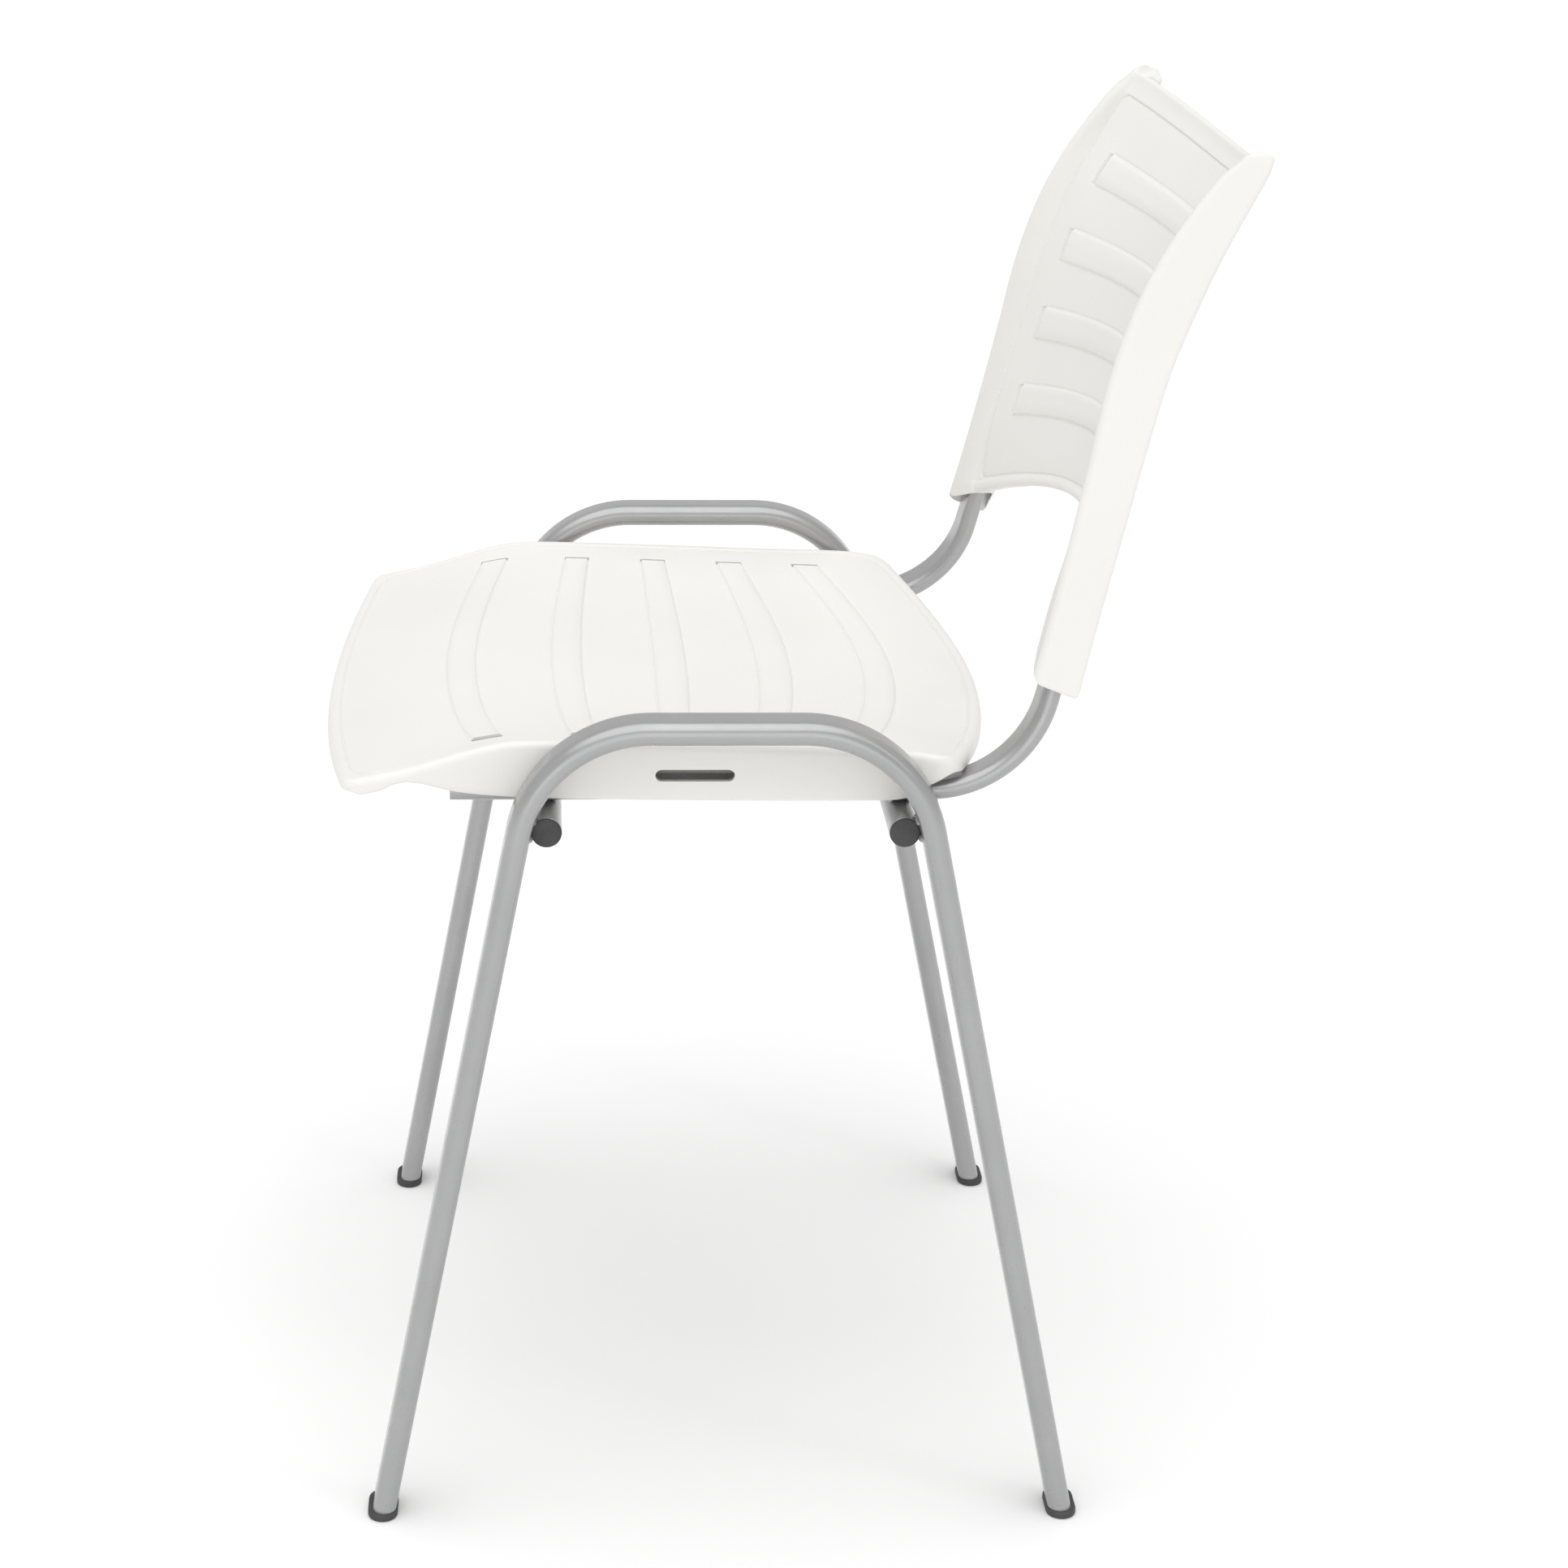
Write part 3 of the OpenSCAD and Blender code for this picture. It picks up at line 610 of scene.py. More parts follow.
def feet():
    """Glides: a rounded pad, a lip round the tube and a spigot inside it."""
    for end, sign, tilt in (("front", -1, FRONT_TILT), ("rear", 1, REAR_TILT)):
        pad_y = sign * (FOOT_HALF_Y - PAD_H * tan(tilt) + PAD_OUT)
        for side, name in SIDES:
            pad_x = side * (FOOT_HALF_X + PAD_ASIDE)
            rings = [foot_ring(pad_x, pad_y, z, grow, tilt) for grow, z in PAD_LEVELS]
            for grow, z in SPIGOT_LEVELS:
                x = side * (FOOT_HALF_X + sin(FRAME_LEAN) * z)
                y = sign * (FOOT_HALF_Y - z * tan(tilt))
                rings.append(foot_ring(x, y, z, grow, tilt))
            obj = new_object(f"{end}_{name}_glide", *skin(rings, capped=True), 45)
            show(obj, [f"{end}_{name}_foot"], FOOT_BLACK)


BEAD_RIPPLES = 8
BEAD_STEPS = 16
LEG_BEAD = (14.5, 2.1)
LEG_BEAD_IN = 2.0
LEG_BEAD_APART = 5.2
UPRIGHT_BEAD = (13.0, 1.7)
UPRIGHT_BEAD_APART = 5.0
UPRIGHT_BEAD_SUNK = 0.6


def bead(x, y, z, length, radius):
    """A weld bead along X with the scallops that each stitch leaves."""
    rings = []
    n = BEAD_RIPPLES * 6
    for k in range(n + 1):
        t = k / n
        taper = max(sqrt(1 - (2 * t - 1) ** 4), 0.05)
        r = radius * (0.90 + 0.10 * abs(sin(pi * BEAD_RIPPLES * t))) * taper
        ring = []
        for i in range(BEAD_STEPS):
            a = 2 * pi * i / BEAD_STEPS
            ring.append(point(x + (t - 0.5) * length, y + r * cos(a), z + r * sin(a)))
        rings.append(ring)
    return skin(rings, capped=True)


def welds():
    """Beads above and below each leg's joints, and either side of each upright's."""
    leg_parts, upright_parts = [], []
    for side in (1, -1):
        for end, tilt, cross_y in ((-1, FRONT_TILT, FRONT_CROSS_Y), (1, REAR_TILT, REAR_CROSS_Y)):
            y = cross_y + end * CROSS_D / 2 * cos(tilt)
            z = CROSS_Z + CROSS_D / 2 * sin(tilt)
            for k in (-LEG_BEAD_APART, LEG_BEAD_APART):
                x = side * (FOOT_HALF_X + LEG_BEAD_IN)
                leg_parts.append(bead(x, y - k * end * sin(tilt), z + k * cos(tilt), *LEG_BEAD))
            top = CROSS_Z + CROSS_D / 2 - UPRIGHT_BEAD_SUNK
            for k in (-UPRIGHT_BEAD_APART, UPRIGHT_BEAD_APART):
                upright_parts.append(bead(side * UPRIGHT_HALF_X, cross_y + k, top, *UPRIGHT_BEAD))
    leg_welds = new_object("leg_welds", *merge(leg_parts), 60)
    show(leg_welds, ["leg_weld_beads"], WELD)
    upright_welds = new_object("upright_welds", *merge(upright_parts), 60)
    show(upright_welds, ["upright_weld_beads"], WELD)


# ---- what both shells share

SHELL_WALL = 3.2
BAND_RISE = 1.1
BAND_EDGE = 0.55
VALLEY_OUT = 1.3
VALLEY_DEPTH = 0.5
VALLEY_WIDTH = 0.55
SLIT_OVER = 1.0


def groove(distance, depth, width):
    """A rounded groove, as a negative height."""
    return -depth * exp(-((distance / width) ** 2))


def band_height(along, across, bands, end):
    """Height of the raised bands, with a fine valley at their foot."""
    if across > end:
        return 0.0
    for lo, hi in bands:
        out = max(lo - along, along - hi)
        if out < 4:
            valley = groove(out - VALLEY_OUT, VALLEY_DEPTH, VALLEY_WIDTH)
            return BAND_RISE * (1 - ramp(out, -BAND_EDGE, BAND_EDGE)) + valley
    return 0.0


def band_spans(bands):
    """Spans for fine mesh lines over the edges and valleys of the bands."""
    near, valley, step = 0.6, 2.1, 0.4
    spans = []
    for lo, hi in bands:
        spans += [(lo - near - valley, lo + near, step), (hi - near, hi + near + valley, step)]
    return spans


def slit_ends(bands):
    """Where the slits at the bands' ends begin and stop."""
    return [end for lo, hi in bands for end in (lo - SLIT_OVER, hi + SLIT_OVER)]


def slit_cells(cols, rows, slit, bands):
    """The cells of a grid of lines that lie in the slits."""
    cells = set()
    for j in range(len(rows) - 1):
        along = (rows[j] + rows[j + 1]) / 2
        if any(lo - SLIT_OVER < along < hi + SLIT_OVER for lo, hi in bands):
            for i in range(len(cols) - 1):
                if slit[0] < abs(cols[i] + cols[i + 1]) / 2 < slit[1]:
                    cells.add((i, j))
    return cells


def slit_sides(open_cells):
    """The grid sides (corner, corner) that part the open cells from the closed ones."""
    out = []
    for i, j in open_cells:
        sides = [
            ((i, j), (i + 1, j), (i, j - 1)),
            ((i + 1, j), (i + 1, j + 1), (i + 1, j)),
            ((i + 1, j + 1), (i, j + 1), (i, j + 1)),
            ((i, j + 1), (i, j), (i - 1, j)),
        ]
        out += [(a, b) for a, b, beyond in sides if beyond not in open_cells]
    return out


def plan_normals(loop):
    """Outward normals in plan of an anticlockwise loop of points."""
    out = []
    for i in range(len(loop)):
        a, b = loop[i - 1], loop[(i + 1) % len(loop)]
        dx, dy = b[0] - a[0], b[1] - a[1]
        size = hypot(dx, dy) or 1.0
        out.append((dy / size, -dx / size))
    return out


# ---- seat

SEAT_HALF_W = 206.0
SEAT_DEPTH = 403.0
SEAT_MID_Z = [[-243, 460], [-205, 471.5], [-165, 478], [-120, 479.5], [0, 476.5], [90, 473], [161, 468]]
SEAT_SIDE_Z = [
    [-218, 472], [-185, 479.5], [-145, 492], [-125, 495.5], [-60, 494.5], [41, 491], [100, 489], [130, 484],
]
DISH_POWER = 2.6
# How far the lines across the seat bow to the rear at BOW_AT, by share of the depth.
SEAT_BOW = [[0, 13], [0.2, 17], [0.365, 8], [0.526, -4], [0.686, -15.5], [0.85, -28], [1, -24]]
BOW_AT = 170.0
SKIRT_LOW = [
    [-219, 465], [-213, 463.8], [-202, 466.3], [-194, 470], [-186, 471.2], [-176, 469.5], [-160, 465.5],
    [-130, 462.5], [-60, 460.5], [84, 460], [98, 462], [110, 469.5], [125, 475],
]
SKIRT_POWER = 30
LIP_FRONT = 7.0
LIP_REAR = 9.0
FRONT_CORNER = 9.0
FRONT_CORNER_SHARE = 0.09
REAR_CORNER = 13.0
REAR_CORNER_SHARE = 0.14
ROLL = 4.5
BORDER_IN = 7.5
BORDER_CORNER = 16.0
SEAT_STEP = 0.35
SEAT_GROOVE = 0.85
SEAT_GROOVE_W = 0.6
SEAT_BANDS = [(73.5, 90.5), (138.5, 156.5), (202.5, 221.5), (266.5, 286.5), (332.5, 350.5)]
SEAT_SLIT = (177.0, 181.0)
INNER_GAP = 0.3
INNER_SIDE = 16.0
INNER_END = 20.0


def corner_cut(ax, r):
    """How far a corner of radius r has turned in at ax from the middle."""
    inside = ax - SEAT_HALF_W + r
    return r - sqrt(max(r * r - inside * inside, 0.0)) if inside > 0 else 0.0


def seat_y(x, w):
    """Y of the point at x on the line that is w behind the front edge along the middle."""
    ax, v = abs(x), w / SEAT_DEPTH
    front = max(1 - v / FRONT_CORNER_SHARE, 0)
    back = max((v - 1) / REAR_CORNER_SHARE + 1, 0)
    y = SEAT_FRONT_Y + w + smooth(SEAT_BOW, v) * (ax / BOW_AT) ** 2
    return y + corner_cut(ax, FRONT_CORNER) * front**2 - corner_cut(ax, REAR_CORNER) * back**2


def seat_z(x, y):
    """Height of the dished top, without its relief."""
    mid = smooth(SEAT_MID_Z, max(y, SEAT_MID_Z[0][0]))
    side = smooth(SEAT_SIDE_Z, clamp(y, SEAT_SIDE_Z[0][0], SEAT_SIDE_Z[-1][0]))
    return mix(mid, side, (abs(x) / SEAT_HALF_W) ** DISH_POWER)


def skirt_z(x, y, w):
    """Height of the rim's lower edge."""
    low = smooth(SKIRT_LOW, clamp(y, SKIRT_LOW[0][0], SKIRT_LOW[-1][0]))
    lip = seat_z(x, y) - (LIP_REAR if w > SEAT_DEPTH / 2 else LIP_FRONT)
    return mix(lip, low, (abs(x) / SEAT_HALF_W) ** SKIRT_POWER)


def seat_relief(x, w):
    """Height of the raised bands and of the border's groove and step."""
    depth = min(w, SEAT_DEPTH - w)
    edge = rounded_box_distance(SEAT_HALF_W - abs(x) - BORDER_IN, depth - BORDER_IN, BORDER_CORNER)
    bands = band_height(w, abs(x), SEAT_BANDS, SEAT_SLIT[0] + 0.01)
    return bands + groove(edge, SEAT_GROOVE, SEAT_GROOVE_W) + SEAT_STEP * ramp(edge, -0.7, 0.9)


def roll_drop(x, w):
    """How far the rounded rim has dropped below the top."""
    qx = max(ROLL - (SEAT_HALF_W - abs(x)), 0.0) / ROLL
    qy = max(ROLL - min(w, SEAT_DEPTH - w), 0.0) / ROLL
    q = min(1.0, hypot(qx, qy))
    return ROLL * (1 - sqrt(1 - q * q))


def seat_lines():
    """Places across the seat and distances from its front for the mesh lines."""
    rim = [ROLL * (1 - cos(radians(a))) for a in (0, 20, 35, 48, 60, 72, 82)]
    edge_spans = [(5.6, 9.6, 0.45), (9.6, 26.0, 1.5)]
    far_spans = [(SEAT_DEPTH - b, SEAT_DEPTH - a, step) for a, b, step in edge_spans]
    side_spans = [(SEAT_HALF_W - b, SEAT_HALF_W - a, step) for a, b, step in edge_spans]
    fine = edge_spans + far_spans + band_spans(SEAT_BANDS)
    rows = grid_lines(0, SEAT_DEPTH, 6.5, fine, slit_ends(SEAT_BANDS))
    rows = sorted(set(rows) | set(rim) | {SEAT_DEPTH - r for r in rim})
    cols = grid_lines(0, SEAT_HALF_W, 7.0, side_spans, SEAT_SLIT)
    cols = sorted(set(cols) | {SEAT_HALF_W - r for r in rim})
    return [-x for x in cols[:0:-1]] + cols, rows


def seat_inner(x, w):
    """The point of the shell's inner face under the place (x, w) of its top."""
    half = SEAT_DEPTH / 2
    x = squeeze(x, SEAT_HALF_W, INNER_SIDE, SHELL_WALL)
    w = squeeze(w - half, half, INNER_END, SHELL_WALL) + half
    y = seat_y(x, w)
    return [x, y, seat_z(x, y) - SHELL_WALL - INNER_GAP]


def seat_rim(outer, inner, low):
    """Rings of points down the skirt, round its edge and up to the inner face."""
    half = SHELL_WALL / 2
    rings = []
    for share in (0.2, 0.4, 0.6, 0.8, 1.0):
        rings.append([[p[0], p[1], mix(p[2], z + half, share)] for p, z in zip(outer, low)])
    for angle in (30, 60, 90, 120, 150, 180):
        back = half * (1 - cos(radians(angle)))
        down = half * (1 - sin(radians(angle)))
        ring = []
        for p, normal, z in zip(outer, plan_normals(outer), low):
            ring.append([p[0] - normal[0] * back, p[1] - normal[1] * back, z + down])
        rings.append(ring)
    edge = rings[-1]
    for share in (0.35, 0.7):
        rings.append([[mix(a, b, share) for a, b in zip(p, q)] for p, q in zip(edge, inner)])
    return rings


def seat_mesh():
    """The top and the inner face on one grid, with the slits and the rim round them."""
    cols, rows = seat_lines()
    nc, nr = len(cols), len(rows)
    top, under = [], []
    for w in rows:
        for x in cols:
            y = seat_y(x, w)
            top.append([x, y, seat_z(x, y) + seat_relief(x, w) - roll_drop(x, w)])
            under.append(seat_inner(x, w))

    def outside(i, j):
        return j * nc + i

    def inside(i, j):
        return nc * nr + j * nc + i

    faces = []
    open_cells = slit_cells(cols, rows, SEAT_SLIT, SEAT_BANDS)
    for j in range(nr - 1):
        for i in range(nc - 1):
            if (i, j) not in open_cells:
                quad = [(i, j), (i + 1, j), (i + 1, j + 1), (i, j + 1)]
                faces.append([outside(*corner) for corner in quad])
                faces.append([inside(*corner) for corner in reversed(quad)])
    for a, b in slit_sides(open_cells):
        faces.append([outside(*a), outside(*b), inside(*b), inside(*a)])
    loop = [(i, 0) for i in range(nc)] + [(nc - 1, j) for j in range(1, nr)]
    loop += [(i, nr - 1) for i in range(nc - 2, -1, -1)] + [(0, j) for j in range(nr - 2, 0, -1)]
    outer = [top[outside(i, j)] for i, j in loop]
    inner = [under[outside(i, j)] for i, j in loop]
    low = [skirt_z(cols[i], p[1], rows[j]) for p, (i, j) in zip(outer, loop)]
    rings = seat_rim(outer, inner, low)
    verts = top + under
    chain = [[outside(i, j) for i, j in loop]]
    for ring in rings:
        chain.append(list(range(len(verts), len(verts) + len(ring))))
        verts += ring
    chain.append([inside(i, j) for i, j in loop])
    return verts, faces + bridge(chain)


SLOT_X = (197.0, 211.0)
SLOT_Y = (-46.5, -1.5)
SLOT_Z = 475.5
SLOT_R = 3.5
SLOT_ARC = 24


def slot_cutter():
    """Rounded bars that cut the long hole through both side skirts."""
    outline = []
    for y, start in ((SLOT_Y[1] - SLOT_R, -0.5), (SLOT_Y[0] + SLOT_R, 0.5)):
        for k in range(SLOT_ARC + 1):
            a = pi * (k / SLOT_ARC + start)
            outline.append((y + SLOT_R * cos(a), SLOT_Z + SLOT_R * sin(a)))
    parts = []
    for side in (1, -1):
        parts.append(skin([[point(side * x, y, z) for y, z in outline] for x in SLOT_X], capped=True))
    return new_object("slot_cutter", *merge(parts))


BOSS_LOW = UPRIGHT_Z + UPRIGHT_T / 2 + 0.6
BOSS_R = 6.5
BOSS_BORE_R = 2.4
RIB_X = (170.6, 173.0)
RIB_Y = (-152.0, 104.0)
RIB_LOW = 464.0
RIB_STATIONS = 24


def seat_boss(side, y):
    """A hollow boss between the shell and the run, over one of the seat's screws."""
    x = side * UPRIGHT_HALF_X
    height = min(seat_z(x + 6, y), seat_z(x - 6, y)) - SHELL_WALL - 0.2 - BOSS_LOW
    profile = [(BOSS_BORE_R, 0.0), (BOSS_R - 0.5, 0.0), (BOSS_R, 0.5), (BOSS_R, height)]
    profile += [(BOSS_BORE_R, height), (BOSS_BORE_R, 0.0)]
    return lathe(profile, Matrix.Translation(point(x, y, BOSS_LOW)) @ Matrix.Scale(MM, 4), 40)


def seat_rib(side):
    """A moulded rib along the inner side of the run."""
    near, far = RIB_X
    rings = []
    for k in range(RIB_STATIONS + 1):
        y = mix(RIB_Y[0], RIB_Y[1], k / RIB_STATIONS)
        top = seat_z(near, y) - SHELL_WALL - 0.1
        section = [(near, RIB_LOW + 0.6), (near + 0.5, RIB_LOW), (far - 0.5, RIB_LOW)]
        section += [(far, RIB_LOW + 0.6), (far, top), (near, top)]
        rings.append([point(side * x, y, z) for x, z in section])
    return skin(rings, capped=True)


def seat():
    """The shell, and its bosses and ribs as their own piece."""
    verts, faces = seat_mesh()
    shell = new_object("seat", [point(*v) for v in verts], faces)
    cut_away(shell, slot_cutter())
    show(shell, ["seat_shell"], SHELL)
    parts = []
    for side in (1, -1):
        parts += [seat_boss(side, y) for y in SEAT_SCREW_Y]
        parts.append(seat_rib(side))
    bosses = new_object("seat_bosses", *merge(parts))
    bosses.data.materials.append(SHELL)
    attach(bosses, "root")


# ---- back

BACK_MID_Y = [
    [540, 223.6], [580, 226.2], [620, 234.3], [660, 243.9], [700, 254.4], [740, 268.5], [770, 285],
    [800, 309], [825, 338],
]
BACK_HALF_W = 172.0
BACK_WRAP = 44.0
BACK_WRAP_TOP = 20.0
BACK_LOW = 574.8
BACK_TOP = 794.8
TOP_ROUND = 2.4
BACK_BANDS = [(617.1, 632.7), (659.3, 675.6), (702.1, 717.9), (743.2, 757.6)]
BACK_SLIT = (141.4, 146.4)
SLIT_THIN = 1.2
PANEL_COMMON = 150.0
BORDER_X = [[540, 166], [642, 162.5], [723, 164], [803, 167.5]]
BORDER_TOP = 784.4
BORDER_LOW = 582.0
BACK_BORDER_CORNER = 5.0
BORDER_TO_RAIL = 9.5
BORDER_STEPS = (6.4, 4.6, 3.0, 2.0, 1.4, 0.9, 0.45, 0)
BACK_STEP = 1.0
BACK_GROOVE = 0.6
BACK_GROOVE_W = 0.5
BOTTOM_BEAD = 6.5
BOTTOM_BEAD_OUT = 2.4
BOTTOM_LIP = 2.2
TOP_LIP = 1.8
# The rails: Y of their front and rear edges and width of their rear face, by height.
RAIL_FRONT = [
    [516, 164.5], [536, 168.5], [600, 182], [650, 192], [695, 200.5], [735, 212.5], [765, 226.5],
    [792, 243.7], [812, 260], [821, 273],
]
RAIL_REAR = [
    [516, 191], [610, 213], [664, 225.4], [701, 235], [735, 247.5], [764, 260], [790, 273], [804, 280.3],
    [813, 284.3], [818, 284.6], [821, 281.5],
]
RAIL_IN_W = [[520, 31.5], [660, 30.5], [740, 24], [822, 17]]
RAIL_EDGE = 4.2
RAIL_REAR_EDGE = 3.5
FOLD_STEPS = (0.45, 0.9, 1.4, 2.0, 3.0, 4.0)
SLEEVE_FADE = 40.0
SLEEVE_BULGE = 5.5
SLEEVE_TOP = 602.0
SLEEVE_LEN = 68.0
SLEEVE_SLOPE = 0.40
SLEEVE_WALL = 1.4
POCKET_DEPTH = 45.0


def rail_out(z):
    """X of the rail's outer face."""
    return mix(198.5, 172.5, (z - 527) / 293)


def back_y(x, z):
    """Y of the panel's front, without its relief."""
    wrap = BACK_WRAP + BACK_WRAP_TOP * (max(z - 760, 0) / 60) ** 2
    return smooth(BACK_MID_Y, z) - wrap * (x / BACK_HALF_W) ** 2


def back_z(x, zc):
    """Height at x of the line across the panel that is at zc in the middle."""
    return zc - (4.6 - 0.281 * (zc - 690)) * (x / BACK_HALF_W) ** 2


def border_x(z):
    """Where the border groove runs up the panel's side."""
    return min(smooth(BORDER_X, z), rail_out(z) - BORDER_TO_RAIL)


def border_relief(edge):
    """Height of the border's groove and step, edge being the depth inside the border."""
    return groove(edge + 0.5, BACK_GROOVE, BACK_GROOVE_W) + BACK_STEP * ramp(edge, -0.35, 0.55)


def border_edge(depth_x, zc):
    """Signed distance to the border's outline, from the depth inside its upright side."""
    depth_z = min(BORDER_TOP - zc, zc - BORDER_LOW)
    return rounded_box_distance(depth_x, depth_z, BACK_BORDER_CORNER)


def bottom_bead(zc):
    """How far the rolled bead along the bottom edge stands forward."""
    h = (zc - BACK_LOW) / BOTTOM_BEAD
    return BOTTOM_BEAD_OUT * sqrt(max(0.0, 1 - (2 * h - 1) ** 2)) if 0 <= h <= 1 else 0.0


def panel_wall(x):
    """The panel's wall, thinner beside the slits."""
    return SHELL_WALL - SLIT_THIN * ramp(abs(x), 134, 139) * (1 - ramp(abs(x), 148.5, 150))


def back_columns():
    """Places across the right half of the panel that every line shares."""
    return grid_lines(0, PANEL_COMMON, 8.0, [(137.0, 150.0, 1.3)], BACK_SLIT)


class BackLine:
    """The right half of the back's section on the line that is at zc in the middle.

    points holds ([x, y, z], core) pairs outward along the front, round the rail and back along the
    rear. core is where the point goes in plan as the top closes.
    """

    def __init__(self, zc):
        self.zc = zc
        self.points = []
        z_rail = back_z(BACK_HALF_W, zc)
        self.border = border_x(z_rail)
        z_out = back_z(rail_out(z_rail), zc)
        self.out = rail_out(z_out)
        self.border_y = back_y(self.border, back_z(self.border, zc))
        self.front = smooth(RAIL_FRONT, z_out)
        self.rear = max(smooth(RAIL_REAR, z_out), self.border_y + SHELL_WALL + 1.0)
        self.inner = max(self.out - smooth(RAIL_IN_W, z_out), PANEL_COMMON + 3.5)
        self.inner_y = back_y(self.inner, back_z(self.inner, zc)) + SHELL_WALL
        self.core = ((self.border + self.out) / 2, (self.front + self.rear) / 2)
        self.bulge = SLEEVE_BULGE * clamp((SLEEVE_TOP - z_out) / SLEEVE_LEN, 0.0, 1.0)
        self.fade = clamp(1 - (zc - BACK_LOW) / SLEEVE_FADE, 0.0, 1.0) ** 2
        self.panel_front()
        self.fold()
        self.rail_flank()
        self.rail_rear()
        self.panel_rear()

    def put(self, x, y, lift=0.0, core=None):
        self.points.append(([x, y, back_z(x, self.zc) + lift], core or self.core))

    def slope(self, y, across=1.0, corner=0.0):
        """How far the sleeve's sloping lower end lies off the panel's line."""
        drop = 3.0 - SLEEVE_SLOPE * (y - self.front)
        front_round = 1.4 * max(0.0, 1 - (y - self.front) / 3.5) ** 2
        rear_round = 4.0 * max(0.0, (y - self.rear + 4) / 4) ** 2
        return self.fade * ((drop + front_round + rear_round) * across + corner)

    def rear_slope(self, y, x):
        """The same on the rear face, where it runs out towards the panel."""
        across = clamp((x - self.inner) / (self.out - self.inner), 0.0, 1.0)
        return self.slope(y, across, 3.5 * max(0.0, (x - self.out + 6) / 6) ** 2)

    def panel_front(self):
        """From the middle out to the border."""
        columns = back_columns() + [mix(PANEL_COMMON, self.border - 8, share) for share in (0.5, 1.0)]
        for x in columns + [self.border - step for step in BORDER_STEPS]:
            z = back_z(x, self.zc)
            y = back_y(x, z)
            bands = band_height(self.zc, x, BACK_BANDS, BACK_SLIT[0] + 0.01)
            relief = bands + border_relief(border_edge(border_x(z) - x, self.zc))
            self.put(x, y - relief - bottom_bead(self.zc), core=(x, y + SHELL_WALL / 2))

    def fold(self):
        """From the border to the rail's rounded front edge, and round it."""
        r = RAIL_EDGE
        cx, cy = self.out - r, self.front + r
        dx, dy = self.border - cx, self.border_y - cy
        start = atan2(dy, dx) + acos(min(0.98, r / hypot(dx, dy)))
        if start < 0:
            start += 2 * pi
        start = clamp(start, radians(182), radians(265))
        end_x, end_y = cx + r * cos(start), cy + r * sin(start)
        length = hypot(end_x - self.border, end_y - self.border_y)
        for step in FOLD_STEPS:
            t = min(step / length, 0.5 * step / FOLD_STEPS[-1])
            dip = border_relief(border_edge(-step, self.zc))
            dip += bottom_bead(self.zc) * (1 - step / FOLD_STEPS[-1])
            y = mix(self.border_y, end_y, t)
            bulge = self.bulge * sin(pi * t**0.6)
            self.put(mix(self.border, end_x, t), y - dip - bulge, self.slope(y) * t)
        for t in (0.5, 0.62, 0.75, 0.88):
            y = mix(self.border_y, end_y, t)
            bulge = self.bulge * sin(pi * t**0.6)
            dip = BACK_STEP * (1 - t) ** 0.5
            self.put(mix(self.border, end_x, t), y - dip - bulge, self.slope(y) * t)
        for k in range(10):
            a = mix(start, 2 * pi, k / 9)
            y = cy + r * sin(a)
            self.put(cx + r * cos(a), y, self.slope(y))

    def rail_flank(self):
        """The rail's outer face and its rounded rear edge."""
        q = RAIL_REAR_EDGE
        for t in (0.2, 0.4, 0.6, 0.8):
            y = mix(self.front + RAIL_EDGE, self.rear - q, t)
            self.put(self.out, y, self.slope(y))
        for k in range(7):
            a = radians(15 * k)
            x, y = self.out - q + q * cos(a), self.rear - q + q * sin(a)
            self.put(x, y, self.slope(y))

    def rail_rear(self):
        """The rail's rear face, and round its inner edge to the panel."""
        q = RAIL_REAR_EDGE
        for t in (0.25, 0.5, 0.75):
            x = mix(self.out - q, self.inner + q, t)
            self.put(x, self.rear, self.rear_slope(self.rear, x))
        drop = clamp(self.rear - self.inner_y - 0.5, 0.2, q)
        for k in range(5):
            a = radians(90 + 22.5 * k)
            x, y = self.inner + q + q * cos(a), self.rear - drop + drop * sin(a)
            self.put(x, y, self.rear_slope(y, x))
        for t in (0.35, 0.7, 0.92):
            y = mix(self.rear - drop, self.inner_y, t)
            self.put(self.inner, y, core=(self.inner, self.inner_y - SHELL_WALL / 2))

    def panel_rear(self):
        """Back to the middle, with a lip along the bottom and the top."""
        lip = BOTTOM_LIP * ramp(BACK_LOW + 7 - self.zc, 0, 5)
        lip += TOP_LIP * ramp(self.zc, BACK_TOP - 9, BACK_TOP - 5)
        for x in reversed(back_columns()):
            y = back_y(x, back_z(x, self.zc))
            self.put(x, y + panel_wall(x) + lip, core=(x, y + SHELL_WALL / 2))


def back_rows():
    """The lines across the back, by their height in the middle."""
    fine = band_spans(BACK_BANDS)
    fine += [(BORDER_TOP - 5, BORDER_TOP - 2, 0.75), (BORDER_TOP - 2, BORDER_TOP + 2, 0.45)]
    fine += [(BORDER_LOW - 2, BORDER_LOW + 2, 0.45), (BORDER_LOW + 2, BORDER_LOW + 5, 0.75)]
    fine += [(BACK_LOW, BACK_LOW + BOTTOM_BEAD, 0.8)]
    return grid_lines(BACK_LOW, BACK_TOP - TOP_ROUND, 5.5, fine, slit_ends(BACK_BANDS))


def mirrored_loop(half):
    """A closed ring from its right half, which starts and ends in the middle."""
    return half + [[-p[0], p[1], p[2]] for p in half[-2:0:-1]]


def inset_half(points, share, lift):
    """The half ring drawn in and lifted, with a dome over the rail."""
    out = []
    for (x, y, z), (cx, cy) in points:
        far = hypot(x - cx, y - cy)
        near = share * min(1.0, (3.2 if far < 4 else 4.2) / max(0.5, far))
        dome = 0.7 * lift * max(0.0, 1 - ((y - cy) / 7.5) ** 2) if far > 4 else 0.0
        out.append([mix(x, cx, near), mix(y, cy, near), z + lift + dome])
    return out


